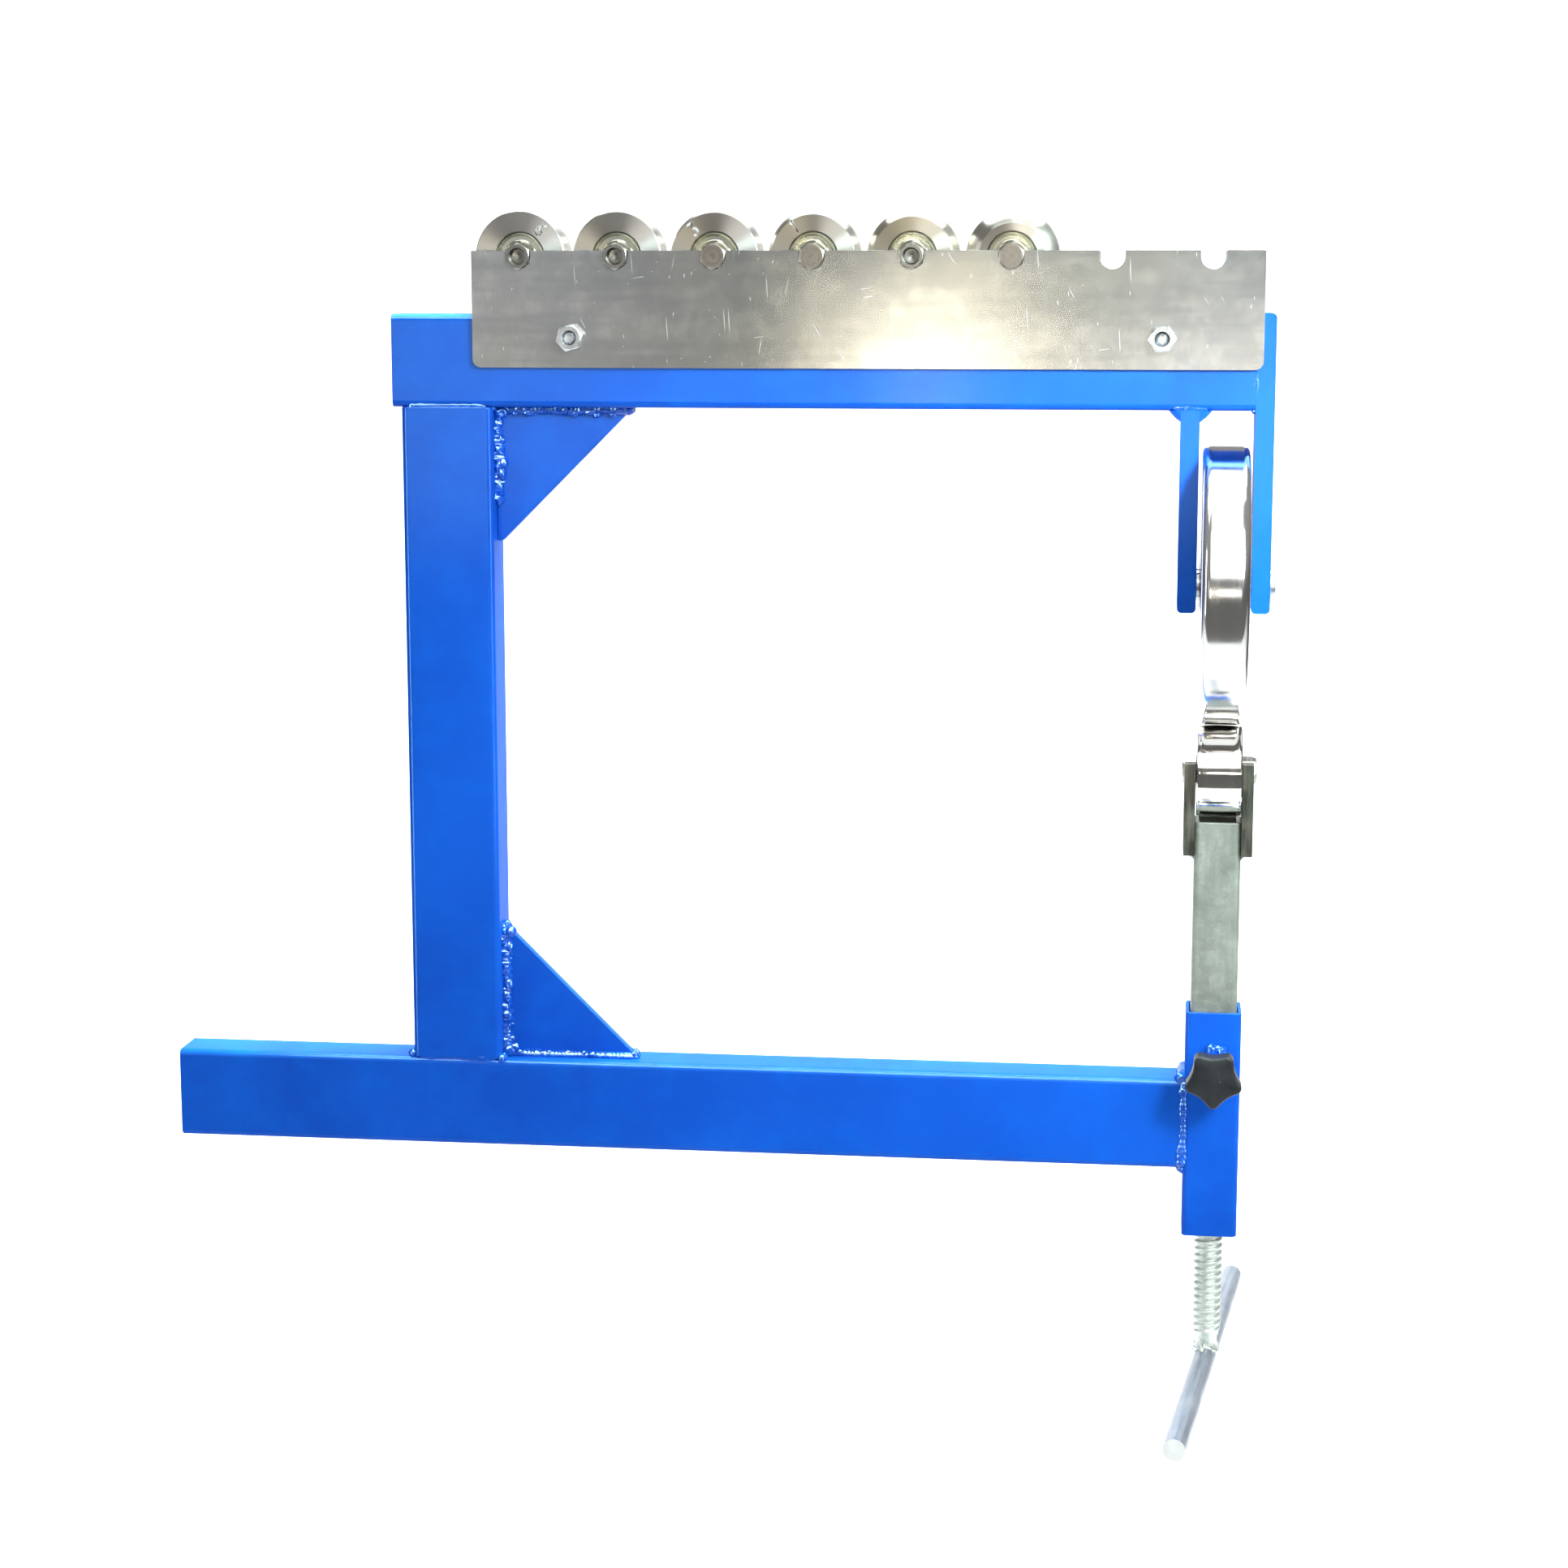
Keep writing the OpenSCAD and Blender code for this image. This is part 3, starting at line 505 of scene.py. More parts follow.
# the nodes that keep their CAD shape, with their finish and the width of their softened edges
for node, finish, width in (
    ("lower_arm", "paint", 0.0007), ("column", "paint", 0.0006), ("upper_arm", "paint", 0.0),
    ("sleeve", "paint", 0.0006), ("lower_gusset", "paint", 0.0006), ("upper_gusset", "paint", 0.0006),
    ("fork_inner_plate", "paint", 0.0012), ("fork_outer_plate", "paint", 0.0012),
    ("rack_front_plate", "sheet", 0.0005), ("rack_rear_plate", "sheet", 0.0005),
    ("post", "post", 0.0006), ("post_plug", "dark", 0.0004), ("sleeve_nut", "dark", 0.0004),
    ("cradle_left_plate", "plate", 0.0005), ("cradle_right_plate", "plate", 0.0005),
    ("cradle_welds", "weld_steel", 0.0005),
    ("lock_stud", "zinc", 0.0005), ("upper_axle", "zinc", 0.0008), ("axle_spacers", "zinc", 0.0002),
):
    dress(node, M[finish], width)
dress("handle_bar", M["bar"], 0.0010, 4)
# the bar's two sawn ends are pale
bar_ends = zinc_coat("bar_sawn_end", *SAWN_END, 90.0, 0.15, (0.30, 0.45))
NODES["handle_bar"].data.materials.append(bar_ends)
BAR_WAY = Vector((math.sin(BAR_TURN), math.cos(BAR_TURN), 0.0))
for poly in NODES["handle_bar"].data.polygons:
    if abs(poly.normal.dot(BAR_WAY)) > 0.9:
        poly.material_index = 1


# wheels and bearings
def wheel_profile(outer, half, bore, lip, seat, crown=None, edge=0.0):
    """Half-section of a wheel with two bearing seats, as a closed loop of (radius, place).

    A crown is the radius of a crowned rim, and an edge that of a flat rim's corners.
    """
    pts = []
    if crown:
        steps = 28
        for k in range(steps + 1):
            t = -half + 2 * half * k / steps
            pts.append((outer - crown + math.sqrt(crown * crown - t * t), t))
        e = 0.0005
        pts[0] = (pts[0][0] - e * 0.7, -half)
        pts.insert(1, (pts[0][0] + e, -half + e * 0.8))
        pts[-1] = (pts[-1][0] - e * 0.7, half)
        pts.insert(-1, (pts[-1][0] + e, half - e * 0.8))
    else:
        for mid, first in ((edge - half, -90), (half - edge, 0)):
            for k in range(9):
                a = math.radians(first + 90 * k / 8)
                pts.append((outer - edge + edge * math.cos(a), mid + edge * math.sin(a)))
    c = 0.0005
    pts += [(bore + c, half), (bore, half - c), (bore, half - seat), (lip, half - seat)]
    pts += [(lip, -half + seat), (bore, -half + seat), (bore, -half + c), (bore + c, -half)]
    return pts


def bearing_mesh(centre, axis, side, r2, r1, width, half):
    """A shielded ball bearing flush with one side of its wheel: rings, a stepped shield, a rolled rim."""
    w = r2 - r1
    face = side * half
    back = side * (half - width)
    d = -side
    ring_in = r1 + 0.20 * w
    ring_out = r2 - 0.17 * w
    prof = [
        (r1, back), (r1, face + d * 0.0003), (r1 + 0.0003, face),
        (ring_in - 0.0002, face), (ring_in, face + d * 0.0003), (ring_in, face + d * 0.0012),
        (ring_in + 0.00025, face + d * 0.0012), (ring_in + 0.00035, face + d * 0.0006),
        (ring_in + 0.22 * w, face + d * 0.0004), (ring_in + 0.30 * w, face + d * 0.0009),
        (ring_out - 0.10 * w, face + d * 0.0009), (ring_out - 0.05 * w, face + d * 0.0004),
        (ring_out - 0.0002, face + d * 0.0004), (ring_out, face + d * 0.0008),
        (ring_out + 0.0002, face + d * 0.0002), (ring_out + 0.0004, face),
        (r2 - 0.0009, face), (r2 - 0.0005, face + d * 0.0004), (r2 - 0.0005, back),
    ]
    return spun(prof, axis, centre)


def dress_bearings(node, body, centre, axis, sizes):
    """Both bearings of a wheel: sizes are their outer radius, bore and width, and the wheel's half width."""
    mat = turned_steel("steel_" + node, centre, axis, (0.70, 0.71, 0.60), 0.12, 0.22, 0.8, 0.5)
    both = merged(*(bearing_mesh(centre, axis, side, *sizes) for side in (-1, 1)))
    make(node + "_shields", both, body, mat, (node,), 28)


# sizes of the upper wheel and of every anvil, in metres
WHEEL_R, WHEEL_HALF, WHEEL_SEAT_R, WHEEL_SEAT, WHEEL_AXLE_R = 0.075, 0.0125, 0.016, 0.010, 0.00606
ANVIL_R, ANVIL_HALF, ANVIL_SEAT_R, ANVIL_SEAT, ANVIL_AXLE_R = 0.025, 0.012, 0.013, 0.008, 0.00506
WHEEL_BEARING = (WHEEL_SEAT_R, WHEEL_AXLE_R, WHEEL_SEAT, WHEEL_HALF)
ANVIL_BEARING = (ANVIL_SEAT_R, ANVIL_AXLE_R, ANVIL_SEAT, ANVIL_HALF)

big = tuple(wheel_mid)
mat_big = turned_steel("steel_upper_wheel", big, "X", (0.84, 0.835, 0.82), 0.11, 0.16, 0.4)
big_profile = wheel_profile(WHEEL_R, WHEEL_HALF, WHEEL_SEAT_R, 0.014, WHEEL_SEAT, edge=0.0045)
rim = spun(big_profile, "X", big, 192)
make("upper_wheel_rim", rim, "upper_wheel", mat_big, ("upper_wheel",), 24)
dress_bearings("upper_wheel_bearings", "upper_wheel", big, "X", WHEEL_BEARING)


def anvil_ring(name, centre, axis, mat, crown):
    """An anvil's crowned ring and its two bearings."""
    profile = wheel_profile(ANVIL_R, ANVIL_HALF, ANVIL_SEAT_R, 0.0125, ANVIL_SEAT, crown)
    make(name + "_ring", spun(profile, axis, centre, 144), name, mat, (name,), 24)
    dress_bearings(name + "_bearings", name, centre, axis, ANVIL_BEARING)


work = tuple(work_mid)
mat_work = turned_steel("steel_work_anvil", work, "X", (0.84, 0.82, 0.79), 0.06, 0.10, 0.4)
anvil_ring("work_anvil", work, "X", mat_work, 0.250)

PIN_HALF = 0.020
WASHER_OUT = 0.01248


def pin_mesh(centre, axis, front, back, turn):
    """An anvil's axle: shaft, thin washers and an end on each side. front and back are style names."""
    parts = []
    shaft = [(0.0, -0.0125), (0.005, -0.0125), (0.005, 0.0125), (0.0, 0.0125)]
    parts.append(spun(shaft, axis, centre, 48, closed=False))
    for s, style in ((-1, front), (1, back)):
        ring = [
            (0.0049, 0.0121), (0.0069, 0.0121), (0.0072, 0.01225), (0.0070, WASHER_OUT), (0.0049, WASHER_OUT),
        ]
        parts.append(spun([(r, s * t) for r, t in ring], axis, centre, 72))
        seat = [centre[k] + (s * WASHER_OUT if "XYZ"[k] == axis else 0.0) for k in range(3)]
        length = PIN_HALF - WASHER_OUT
        if style == "nut":
            parts.append(hex_nut(0.0126, length, 0.0040, axis, seat, s, 0.18, 0.96, hole=0.0024))
            tip = PIN_HALF - 0.0012
            bolt = [(0.0, s * tip), (0.0030, s * tip), (0.0038, s * (tip - 0.0007)), (0.0040, s * 0.0125)]
            parts.append(spun(bolt, axis, centre, 40, closed=False))
        elif style == "hexsocket":
            parts.append(hex_nut(0.0128, length, 0.0042, axis, seat, s, 0.52, 0.97, hole=0.0060))
            floor = PIN_HALF - 0.0046
            well = [(0.0, -0.0004), (0.0008, -0.0002), (0.0036, 0.0), (0.0042, -0.0004)]
            parts.append(spun([(r, s * (floor + t)) for r, t in well], axis, centre, 40, closed=False))
        else:
            parts.append(hex_nut(0.0128, length - 0.0003, 0.0001, axis, seat, s, turn, 0.94))
    return merged(*parts)


# steel tints of the six spare anvils, left to right; they darken towards the right, which is painted shade,
# as the steel is alike on all of them
ANVIL_TINTS_WITH_PAINTED_SHADE = [
    (0.58, 0.565, 0.53), (0.55, 0.53, 0.49), (0.50, 0.475, 0.44),
    (0.48, 0.455, 0.41), (0.47, 0.44, 0.37), (0.47, 0.45, 0.40),
]
CROWNS = [0.075, 0.055, 0.042, 0.028, 0.020, 0.0135]
STYLES = ["hexsocket", "hexsocket", "hexhead", "hexhead", "hexsocket", "hexhead"]
PIN_TINTS = {"hexhead": (0.33, 0.305, 0.275), "hexsocket": (0.34, 0.335, 0.31)}


def pin_turn(centre):
    """Each plain pin end is turned a little differently, by where it stands."""
    return 0.36 + 0.2 * centre[0]


for i, (tint, style, crown) in enumerate(zip(ANVIL_TINTS_WITH_PAINTED_SHADE, STYLES, CROWNS)):
    name = f"anvil_{i + 1}"
    c = tuple(middle(name))
    # the warm, slightly rougher faces of the spare anvils catch a broad turned sheen
    mat = turned_steel("steel_" + name, c, "Y", tint, 0.28, 0.29, 0.12, 0.92)
    anvil_ring(name, c, "Y", mat, crown)
    pin = turned_steel("steel_" + name + "_axle", c, "Y", PIN_TINTS[style], 0.22, 0.32, 0.5)
    ends = pin_mesh(c, "Y", style, "nut" if i % 2 else "hexhead", pin_turn(c))
    make(name + "_axle_ends", ends, name + "_axle", pin, (name + "_axle",), 26)

pin = turned_steel("steel_work_axle", work, "X", (0.52, 0.51, 0.48), 0.18, 0.34, 1.5)
ends = pin_mesh(work, "X", "hexhead", "nut", pin_turn(work))
make("work_axle_ends", ends, "post", pin, ("work_axle",), 26)


# plain numbers scribed on three anvils, as segments on a grid one unit wide and two high
SIX = [
    (0.85, 1.9), (0.35, 1.6), (0.05, 0.9), (0.1, 0.3), (0.5, 0.0), (0.9, 0.3), (0.9, 0.8), (0.5, 1.05),
    (0.12, 0.8),
]
THREE = [(0.1, 1.9), (0.8, 1.9), (0.4, 1.15), (0.85, 0.85), (0.85, 0.3), (0.45, 0.0), (0.05, 0.2)]
ONE = [(0.2, 1.5), (0.55, 2.0), (0.5, 0.0)]
DIGIT_RADIUS, DIGIT_SIZE, DIGIT_LINE = 0.0183, 0.0074, 0.00068


def scribed(anvil, digit, angle, seed):
    """A number scratched twice over into an anvil's front face, its head towards the rim."""
    rng = random.Random(seed)
    c = middle(anvil)
    angle = math.radians(angle)
    out = Vector((math.cos(angle), 0.0, math.sin(angle)))
    side = Vector((out.z, 0.0, -out.x))
    face = Vector((c.x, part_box(anvil)[0].y - 0.00004, c.z))
    half = DIGIT_LINE / 2
    sink = Vector((0.0, 0.00008, 0.0))
    verts, faces = [], []
    for line in (digit, digit):
        shake = (rng.uniform(-0.08, 0.08), rng.uniform(-0.08, 0.08))
        route = []
        for u, v in line:
            u += shake[0] + rng.uniform(-0.04, 0.04)
            v += shake[1] + rng.uniform(-0.04, 0.04)
            outward, across = DIGIT_RADIUS + (v - 1.0) * DIGIT_SIZE / 2, (u - 0.5) * DIGIT_SIZE / 2
            route.append(face + out * outward + side * across)
        for a, b in zip(route, route[1:]):
            way = (b - a).normalized()
            cross = Vector((way.z, 0.0, -way.x)) * half
            n = len(verts)
            a, b = a - way * half * 0.6, b + way * half * 0.6
            verts += [a + cross, b + cross, b - cross, a - cross]
            verts += [a + cross + sink, b + cross + sink, b - cross + sink, a - cross + sink]
            faces += [(n, n + 1, n + 2, n + 3), (n + 7, n + 6, n + 5, n + 4)]
            faces += [(n + k, n + (k + 1) % 4, n + 4 + (k + 1) % 4, n + 4 + k) for k in range(4)]
    make(anvil + "_number", (verts, faces), anvil, M["scribed"])


for anvil, digit, angle, seed in (
    ("anvil_1", SIX, 51.0, 3), ("anvil_3", THREE, 128.0, 5), ("anvil_4", ONE, 122.0, 8),
):
    scribed(anvil, digit, angle, seed)


# rack bolts and nuts
def rack_fasteners():
    """Two bolts through the rack plates and the arm, with their ends sunk in the front nuts."""
    lo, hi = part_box("rack_nuts")
    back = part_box("rack_rear_plate")[1].y
    z = (lo.z + hi.z) / 2
    half_nut, r = 0.0075, 0.0036
    end = hi.y - 0.0056
    tip = [(0.0, end + 0.0002), (0.0022, end), (0.0026, end + 0.0004), (r, end + 0.0024)]
    tip += [(r, 0.0), (r, 0.019)]
    nuts, bolts = [], []
    for x, turn in ((lo.x + half_nut, 0.25), (hi.x - half_nut, 0.05)):
        nuts.append(hex_nut(0.013, 0.0065, r, "Y", (x, hi.y, z), -1, turn, 0.93, hole=0.0030))
        bolts.append(spun(tip, "Y", (x, 0.0, z), 48, closed=False))
        bolts.append(hex_nut(0.013, 0.0053, 0.0001, "Y", (x, back, z), 1, turn + 0.3, 0.94))
    make("rack_hex_nuts", merged(*nuts), "frame", M["zinc"], ("rack_nuts",), 26)
    make("rack_hex_bolts", merged(*bolts), "frame", M["zinc"], ("rack_bolts",), 26)


rack_fasteners()


# weld beads
def bead(points, radius, normal, seed, ripple=0.0022, rough=0.35, flat=0.8, taper=True):
    """A rippled bead along a route: normal is the way its crest faces, flat its height over its width."""
    rng = random.Random(seed)
    pts = [Vector(p) for p in points]
    length = sum((b - a).length for a, b in zip(pts, pts[1:]))
    n = max(12, int(length / 0.00055))
    sides = 14
    route = []
    for i in range(n + 1):
        d = length * i / n
        for a, b in zip(pts, pts[1:]):
            seg = (b - a).length
            if d <= seg or b is pts[-1]:
                route.append(a.lerp(b, min(1.0, d / seg)))
                break
            d -= seg
    normal = Vector(normal).normalized()
    verts = []
    phase = rng.random() * 10
    for i, p in enumerate(route):
        q = route[min(i + 1, n)] - route[max(i - 1, 0)]
        q.normalize()
        side = q.cross(normal).normalized()
        up = side.cross(q).normalized()
        s = length * i / n
        wob = lumpy(s * 160 + phase, seed * 3.7, 0.0)
        slow = lumpy(s * 60 + phase, seed * 1.3, 5.0)
        rip = abs(math.sin(math.pi * (s / ripple + phase + 0.35 * wob))) ** 0.6
        r = radius * (0.80 + 0.16 * rip + 0.34 * slow + 0.16 * wob)
        if taper:
            e = min(i, n - i) / n * length
            if e < radius:
                r *= math.sqrt(max(0.02, 1 - (1 - e / radius) ** 2))
        shift = side * (radius * 0.20 * slow)
        for k in range(sides):
            a = math.tau * k / sides
            c, d = math.cos(a), math.sin(a)
            jit = 1 + rough * 0.4 * lumpy(s * 420, c * 2.2 + seed, d * 2.2)
            verts.append(p + shift + side * (r * jit * c) + up * (r * jit * flat * d))
    return verts, tube_faces(n, sides)


def blob(centre, size, seed, squash=(1, 1, 1), steps=14):
    """One lump of weld metal or spatter."""
    verts, faces = [], []
    c = Vector(centre)
    for i in range(steps + 1):
        th = math.pi * i / steps
        for k in range(steps * 2):
            ph = math.pi * k / steps
            d = Vector((math.sin(th) * math.cos(ph), math.sin(th) * math.sin(ph), math.cos(th)))
            r = size * (1 + 0.30 * noise.noise(d * 1.7 + Vector((seed * 3.1, 0, 0))))
            verts.append(c + Vector((d.x * squash[0], d.y * squash[1], d.z * squash[2])) * r)
    for i in range(steps):
        bridge(faces, i * steps * 2, (i + 1) * steps * 2, steps * 2)
    return verts, faces


def fork_fillet(x, way, low, seed):
    """A chunky fillet below the arm, on one side of the inner fork plate, front to back."""
    leg, half = 0.0062, 0.0152
    rows, arc = 46, 9
    verts = []
    for i in range(rows + 1):
        y = -half + 2 * half * i / rows
        wob = lumpy(y * 210, seed * 2.0, 1.0)
        rip = abs(math.sin(math.pi * (y / 0.0026 + 0.4 * wob))) ** 0.6
        e = min(i, rows - i) / rows * 2 * half
        end = math.sqrt(max(0.0, 1 - (1 - min(1.0, e / 0.0025)) ** 2)) * 0.25 + 0.75
        g = leg * (0.92 + 0.10 * rip + 0.14 * wob) * end
        verts.append((x, y, low))
        for k in range(arc + 1):
            t = k / arc
            bulge = 0.04 * math.sin(math.pi * t)
            lum = 1 + 0.07 * lumpy(y * 300, t * 3.0, seed)
            verts.append((x + way * g * ((1 - t) + bulge) * lum, y, low - g * (t + bulge) * lum))
    return verts, tube_faces(rows, arc + 2)


def gusset_beads(parts):
    """Beads and lumps along both gussets, front and back. Returns the next seed."""
    (gx0, _, gz0), (gx1, y, gz1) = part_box("lower_gusset")
    uz0, uz1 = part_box("upper_gusset")[0].z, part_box("upper_gusset")[1].z
    seed = 1
    for s in (-1, 1):
        gy = s * (y + 0.0012)
        outward, below = (1, s, 0), (0, s, -1)
        # lower gusset: up the column, then along the arm, with a heavy corner
        # upper gusset: the overhead run is the untidiest
        low_up = [(gx0 + 0.0014, gy, gz1 + 0.0005), (gx0 + 0.0014, gy, gz0 + 0.003)]
        low_along = [(gx0 + 0.003, gy, gz0 + 0.0012), (gx1 + 0.001, gy, gz0 + 0.0010)]
        high_up = [(gx0 + 0.0014, gy, uz0 + 0.02), (gx0 + 0.0014, gy, uz1 - 0.003)]
        high_along = [(gx0 + 0.003, gy, uz1 - 0.0014), (gx1 + 0.001, gy, uz1 - 0.0012)]
        parts += [
            bead(low_up, 0.0041, outward, seed, rough=1.5),
            bead(low_along, 0.0029, (0, s, 1), seed + 1),
            blob((gx0 + 0.003, gy * 1.15, gz0 + 0.003), 0.0042, seed + 2),
            blob((gx1 + 0.0005, gy * 0.6, gz0 + 0.0010), 0.0030, seed + 3),
            blob((gx0 + 0.0010, gy * 0.6, gz1 + 0.0005), 0.0026, seed + 4),
            bead(high_up, 0.0041, outward, seed + 5, rough=1.5),
            bead(high_along, 0.0033, below, seed + 6, rough=0.7),
            blob((gx0 + 0.003, gy * 1.2, uz1 - 0.003), 0.0040, seed + 7),
            blob((gx1 + 0.0005, gy * 0.6, uz1 - 0.0012), 0.0030, seed + 8),
        ]
        seed += 9
        # the corner lumps are the brightest spots on the frame
        for dx, dz, size in (
            (0.0060, 0.0052, 0.0024), (0.0022, 0.0086, 0.0022),
            (0.0090, 0.0020, 0.0020), (0.0046, 0.0102, 0.0016),
        ):
            parts.append(blob((gx0 + dx, gy * 1.22, gz0 + dz), size, seed, (1.2, 0.9, 1.0), 10))
            seed += 1
        lump = random.Random(40 + s)

        def along(first, length, k, n):
            return first + length * (k + lump.uniform(0.1, 0.9)) / n

        for k in range(9):
            z = along(gz0 + 0.006, gz1 - gz0 - 0.006, k, 9)
            size = lump.uniform(0.0015, 0.0033)
            place = (gx0 + lump.uniform(0.0012, 0.0048), gy * 1.12, z)
            parts.append(blob(place, size, seed + k, (1, 1, lump.uniform(0.8, 1.6)), 9))
        for k in range(8):
            x = along(gx0 + 0.008, gx1 - gx0 - 0.008, k, 8)
            size = lump.uniform(0.0012, 0.0022)
            place = (x, gy * 1.10, gz0 + lump.uniform(0.0010, 0.0028))
            parts.append(blob(place, size, seed + 20 + k, (lump.uniform(0.8, 1.7), 1, 1), 9))
            x = along(gx0 + 0.004, gx1 - gx0 - 0.006, k, 8)
            place = (x, gy * 1.08, uz1 - lump.uniform(0.0016, 0.0042))
            parts.append(blob(place, size * 1.15, seed + 40 + k, (lump.uniform(0.9, 1.9), 1, 1), 9))
        for k in range(7):
            z = along(uz1 - 0.005, uz0 - uz1 + 0.022, k, 7)
            place = (gx0 + lump.uniform(0.0012, 0.0048), gy * 1.12, z)
            parts.append(blob(place, lump.uniform(0.0015, 0.0032), seed + 60 + k, (1, 1, 1.3), 9))
    return seed


def frame_beads():
    """Every painted weld of the frame, as one piece."""
    parts = []
    seed = gusset_beads(parts)
    ground = {"flat": 0.50, "rough": 0.06, "ripple": 0.006}
    fx0, fx1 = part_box("fork_inner_plate")[0].x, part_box("fork_inner_plate")[1].x
    fz, arm_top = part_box("upper_arm")[0].z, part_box("upper_arm")[1].z
    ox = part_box("fork_outer_plate")[0].x
    for x, d in ((fx0, -1), (fx1, 1)):
        seed += 1
        parts.append(fork_fillet(x, d, fz, seed))
        # the wrap on the front and back, where the bead fills the arm's rounded edge
        for s in (-1, 1):
            seed += 1
            wrap = [(x + d * 0.0042, s * 0.0134, fz + 0.0012), (x - d * 0.0046, s * 0.0134, fz + 0.0010)]
            parts.append(bead(wrap, 0.0018, (0, s, -0.5), seed, flat=0.7, rough=0.1))
    for s in (-1, 1):
        seed += 1
        across = [(fx0 + 0.001, s * 0.0129, fz + 0.0008), (fx1 - 0.001, s * 0.0129, fz + 0.0008)]
        parts.append(bead(across, 0.0036, (0, s, -0.3), seed, **ground))
    x, z = ox - 0.0006, fz - 0.0004
    parts.append(bead([(x, -0.0142, z), (x, 0.0142, z)], 0.0019, (-1, 0, -1), 61))
    # seams at the outer fork plate and at the column's ends, front and back, ground nearly flat
    for s in (-1, 1):
        upright = [(ox, s * 0.01395, fz + 0.002), (ox, s * 0.01395, arm_top - 0.002)]
        parts.append(bead(upright, 0.0016, (0, s, 0), 70 + s, flat=0.75, rough=0.15))
    for z in (col_lo.z, col_hi.z):
        for s in (-1, 1):
            level = [(col_lo.x + 0.003, s * 0.0128, z), (col_hi.x - 0.003, s * 0.0128, z)]
            parts.append(bead(level, 0.0042, (0, s, 0), int(80 + z * 100 + s), **ground))
    # small fillets on the column's sides, two of them with a lump at the front
    for x, z, way, radius, number, lump in (
        (col_lo.x - 0.0004, col_lo.z + 0.0006, (-1, 0, 1), 0.0019, 91,
         ((col_lo.x - 0.0010, -0.0112, col_lo.z + 0.0014), 0.0026)),
        (col_hi.x + 0.0002, col_lo.z + 0.0006, (1, 0, 1), 0.0022, 93,
         ((col_hi.x + 0.0004, -0.0126, col_lo.z + 0.0004), 0.0030)),
        (col_hi.x + 0.0002, col_hi.z - 0.0006, (1, 0, -1), 0.0022, 95, None),
    ):
        parts.append(bead([(x, -0.0118, z), (x, 0.0118, z)], radius, way, number))
        if lump:
            parts.append(blob(*lump, number + 1))
    # sleeve on the arm's end
    sx, top, low = sl_lo.x, low_hi.z, low_lo.z
    for s in (-1, 1):
        upright = [(sx - 0.0006, s * 0.0136, top - 0.0005), (sx - 0.0006, s * 0.0136, low + 0.0005)]
        parts.append(bead(upright, 0.0030, (0, s, 0), 100 + s, flat=0.85, rough=0.5, ripple=0.0030))
    for z, way, number in ((top + 0.0008, 1, 103), (low - 0.0008, -1, 104)):
        level = [(sx - 0.0010, -0.0140, z), (sx - 0.0010, 0.0140, z)]
        parts.append(bead(level, 0.0034, (-1, 0, way), number, rough=0.5))
    parts.append(blob((sx - 0.0022, -0.0128, top + 0.0010), 0.0032, 105))
    parts.append(blob((sx - 0.0014, -0.0134, top - 0.0060), 0.0026, 106))
    make("painted_weld_beads", merged(*parts), "frame", M["weld_paint"], ("frame_welds",), 60)


frame_beads()


def lock_parts():
    """The weld nut under the knob with its lumps."""
    lo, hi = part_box("lock_nut")
    z = (lo.z + hi.z) / 2
    x = (lo.x + hi.x) / 2
    parts = [hex_nut(0.013, hi.y - lo.y, 0.0041, "Y", (x, hi.y, z), -1, 0.0, 0.95)]
    # the nut's welds: two bright lumps above it, lesser ones round it
    for dx, dz, size, seed in (
        (-0.0010, 0.0088, 0.0031, 1), (0.0050, 0.0080, 0.0027, 2), (0.0024, 0.0096, 0.0020, 3),
        (0.0078, 0.0026, 0.0023, 4), (-0.0080, 0.0010, 0.0022, 5), (-0.0055, -0.0070, 0.0024, 6),
        (0.0052, -0.0072, 0.0022, 7),
    ):
        parts.append(blob((x + dx, hi.y - 0.0012, z + dz), size, seed, (1.1, 0.9, 1.1)))
    make("lock_nut_welded", merged(*parts), "frame", M["weld_paint"], ("lock_nut",), 40)


lock_parts()


# star knob
def star_outline(n, tip, lobe, valley):
    """Outline of a star with n round lobes of radius lobe out to tip, and hollows in to valley."""
    c = tip - lobe
    a = math.pi / n
    k = valley - lobe
    s = (c * c - k * k) / (2 * (c * math.cos(a) - k))
    hollow = s - valley
    ends = math.atan2(s * math.sin(a), s * math.cos(a) - c)
    lead = Vector((s * math.cos(a), s * math.sin(a)))
    mirrored = Vector((c * math.cos(2 * a), c * math.sin(2 * a)))
    t0 = math.atan2(0 - lead.y, c - lead.x)
    t1 = math.atan2(mirrored.y - lead.y, mirrored.x - lead.x)
    while t1 > t0:
        t1 -= math.tau
    if t0 - t1 > math.pi:
        t1 += math.tau
    one = []
    for j in range(13):
        t = -ends + 2 * ends * j / 12
        one.append(Vector((c + lobe * math.cos(t), lobe * math.sin(t))))
    for j in range(1, 18):
        t = t0 + (t1 - t0) * j / 18
        one.append(lead + Vector((math.cos(t), math.sin(t))) * hollow)
    loop = []
    for i in range(n):
        base = -math.pi / 2 + math.tau * i / n
        cos, sin = math.cos(base), math.sin(base)
        loop += [Vector((p.x * cos - p.y * sin, p.x * sin + p.y * cos)) for p in one]
    return loop


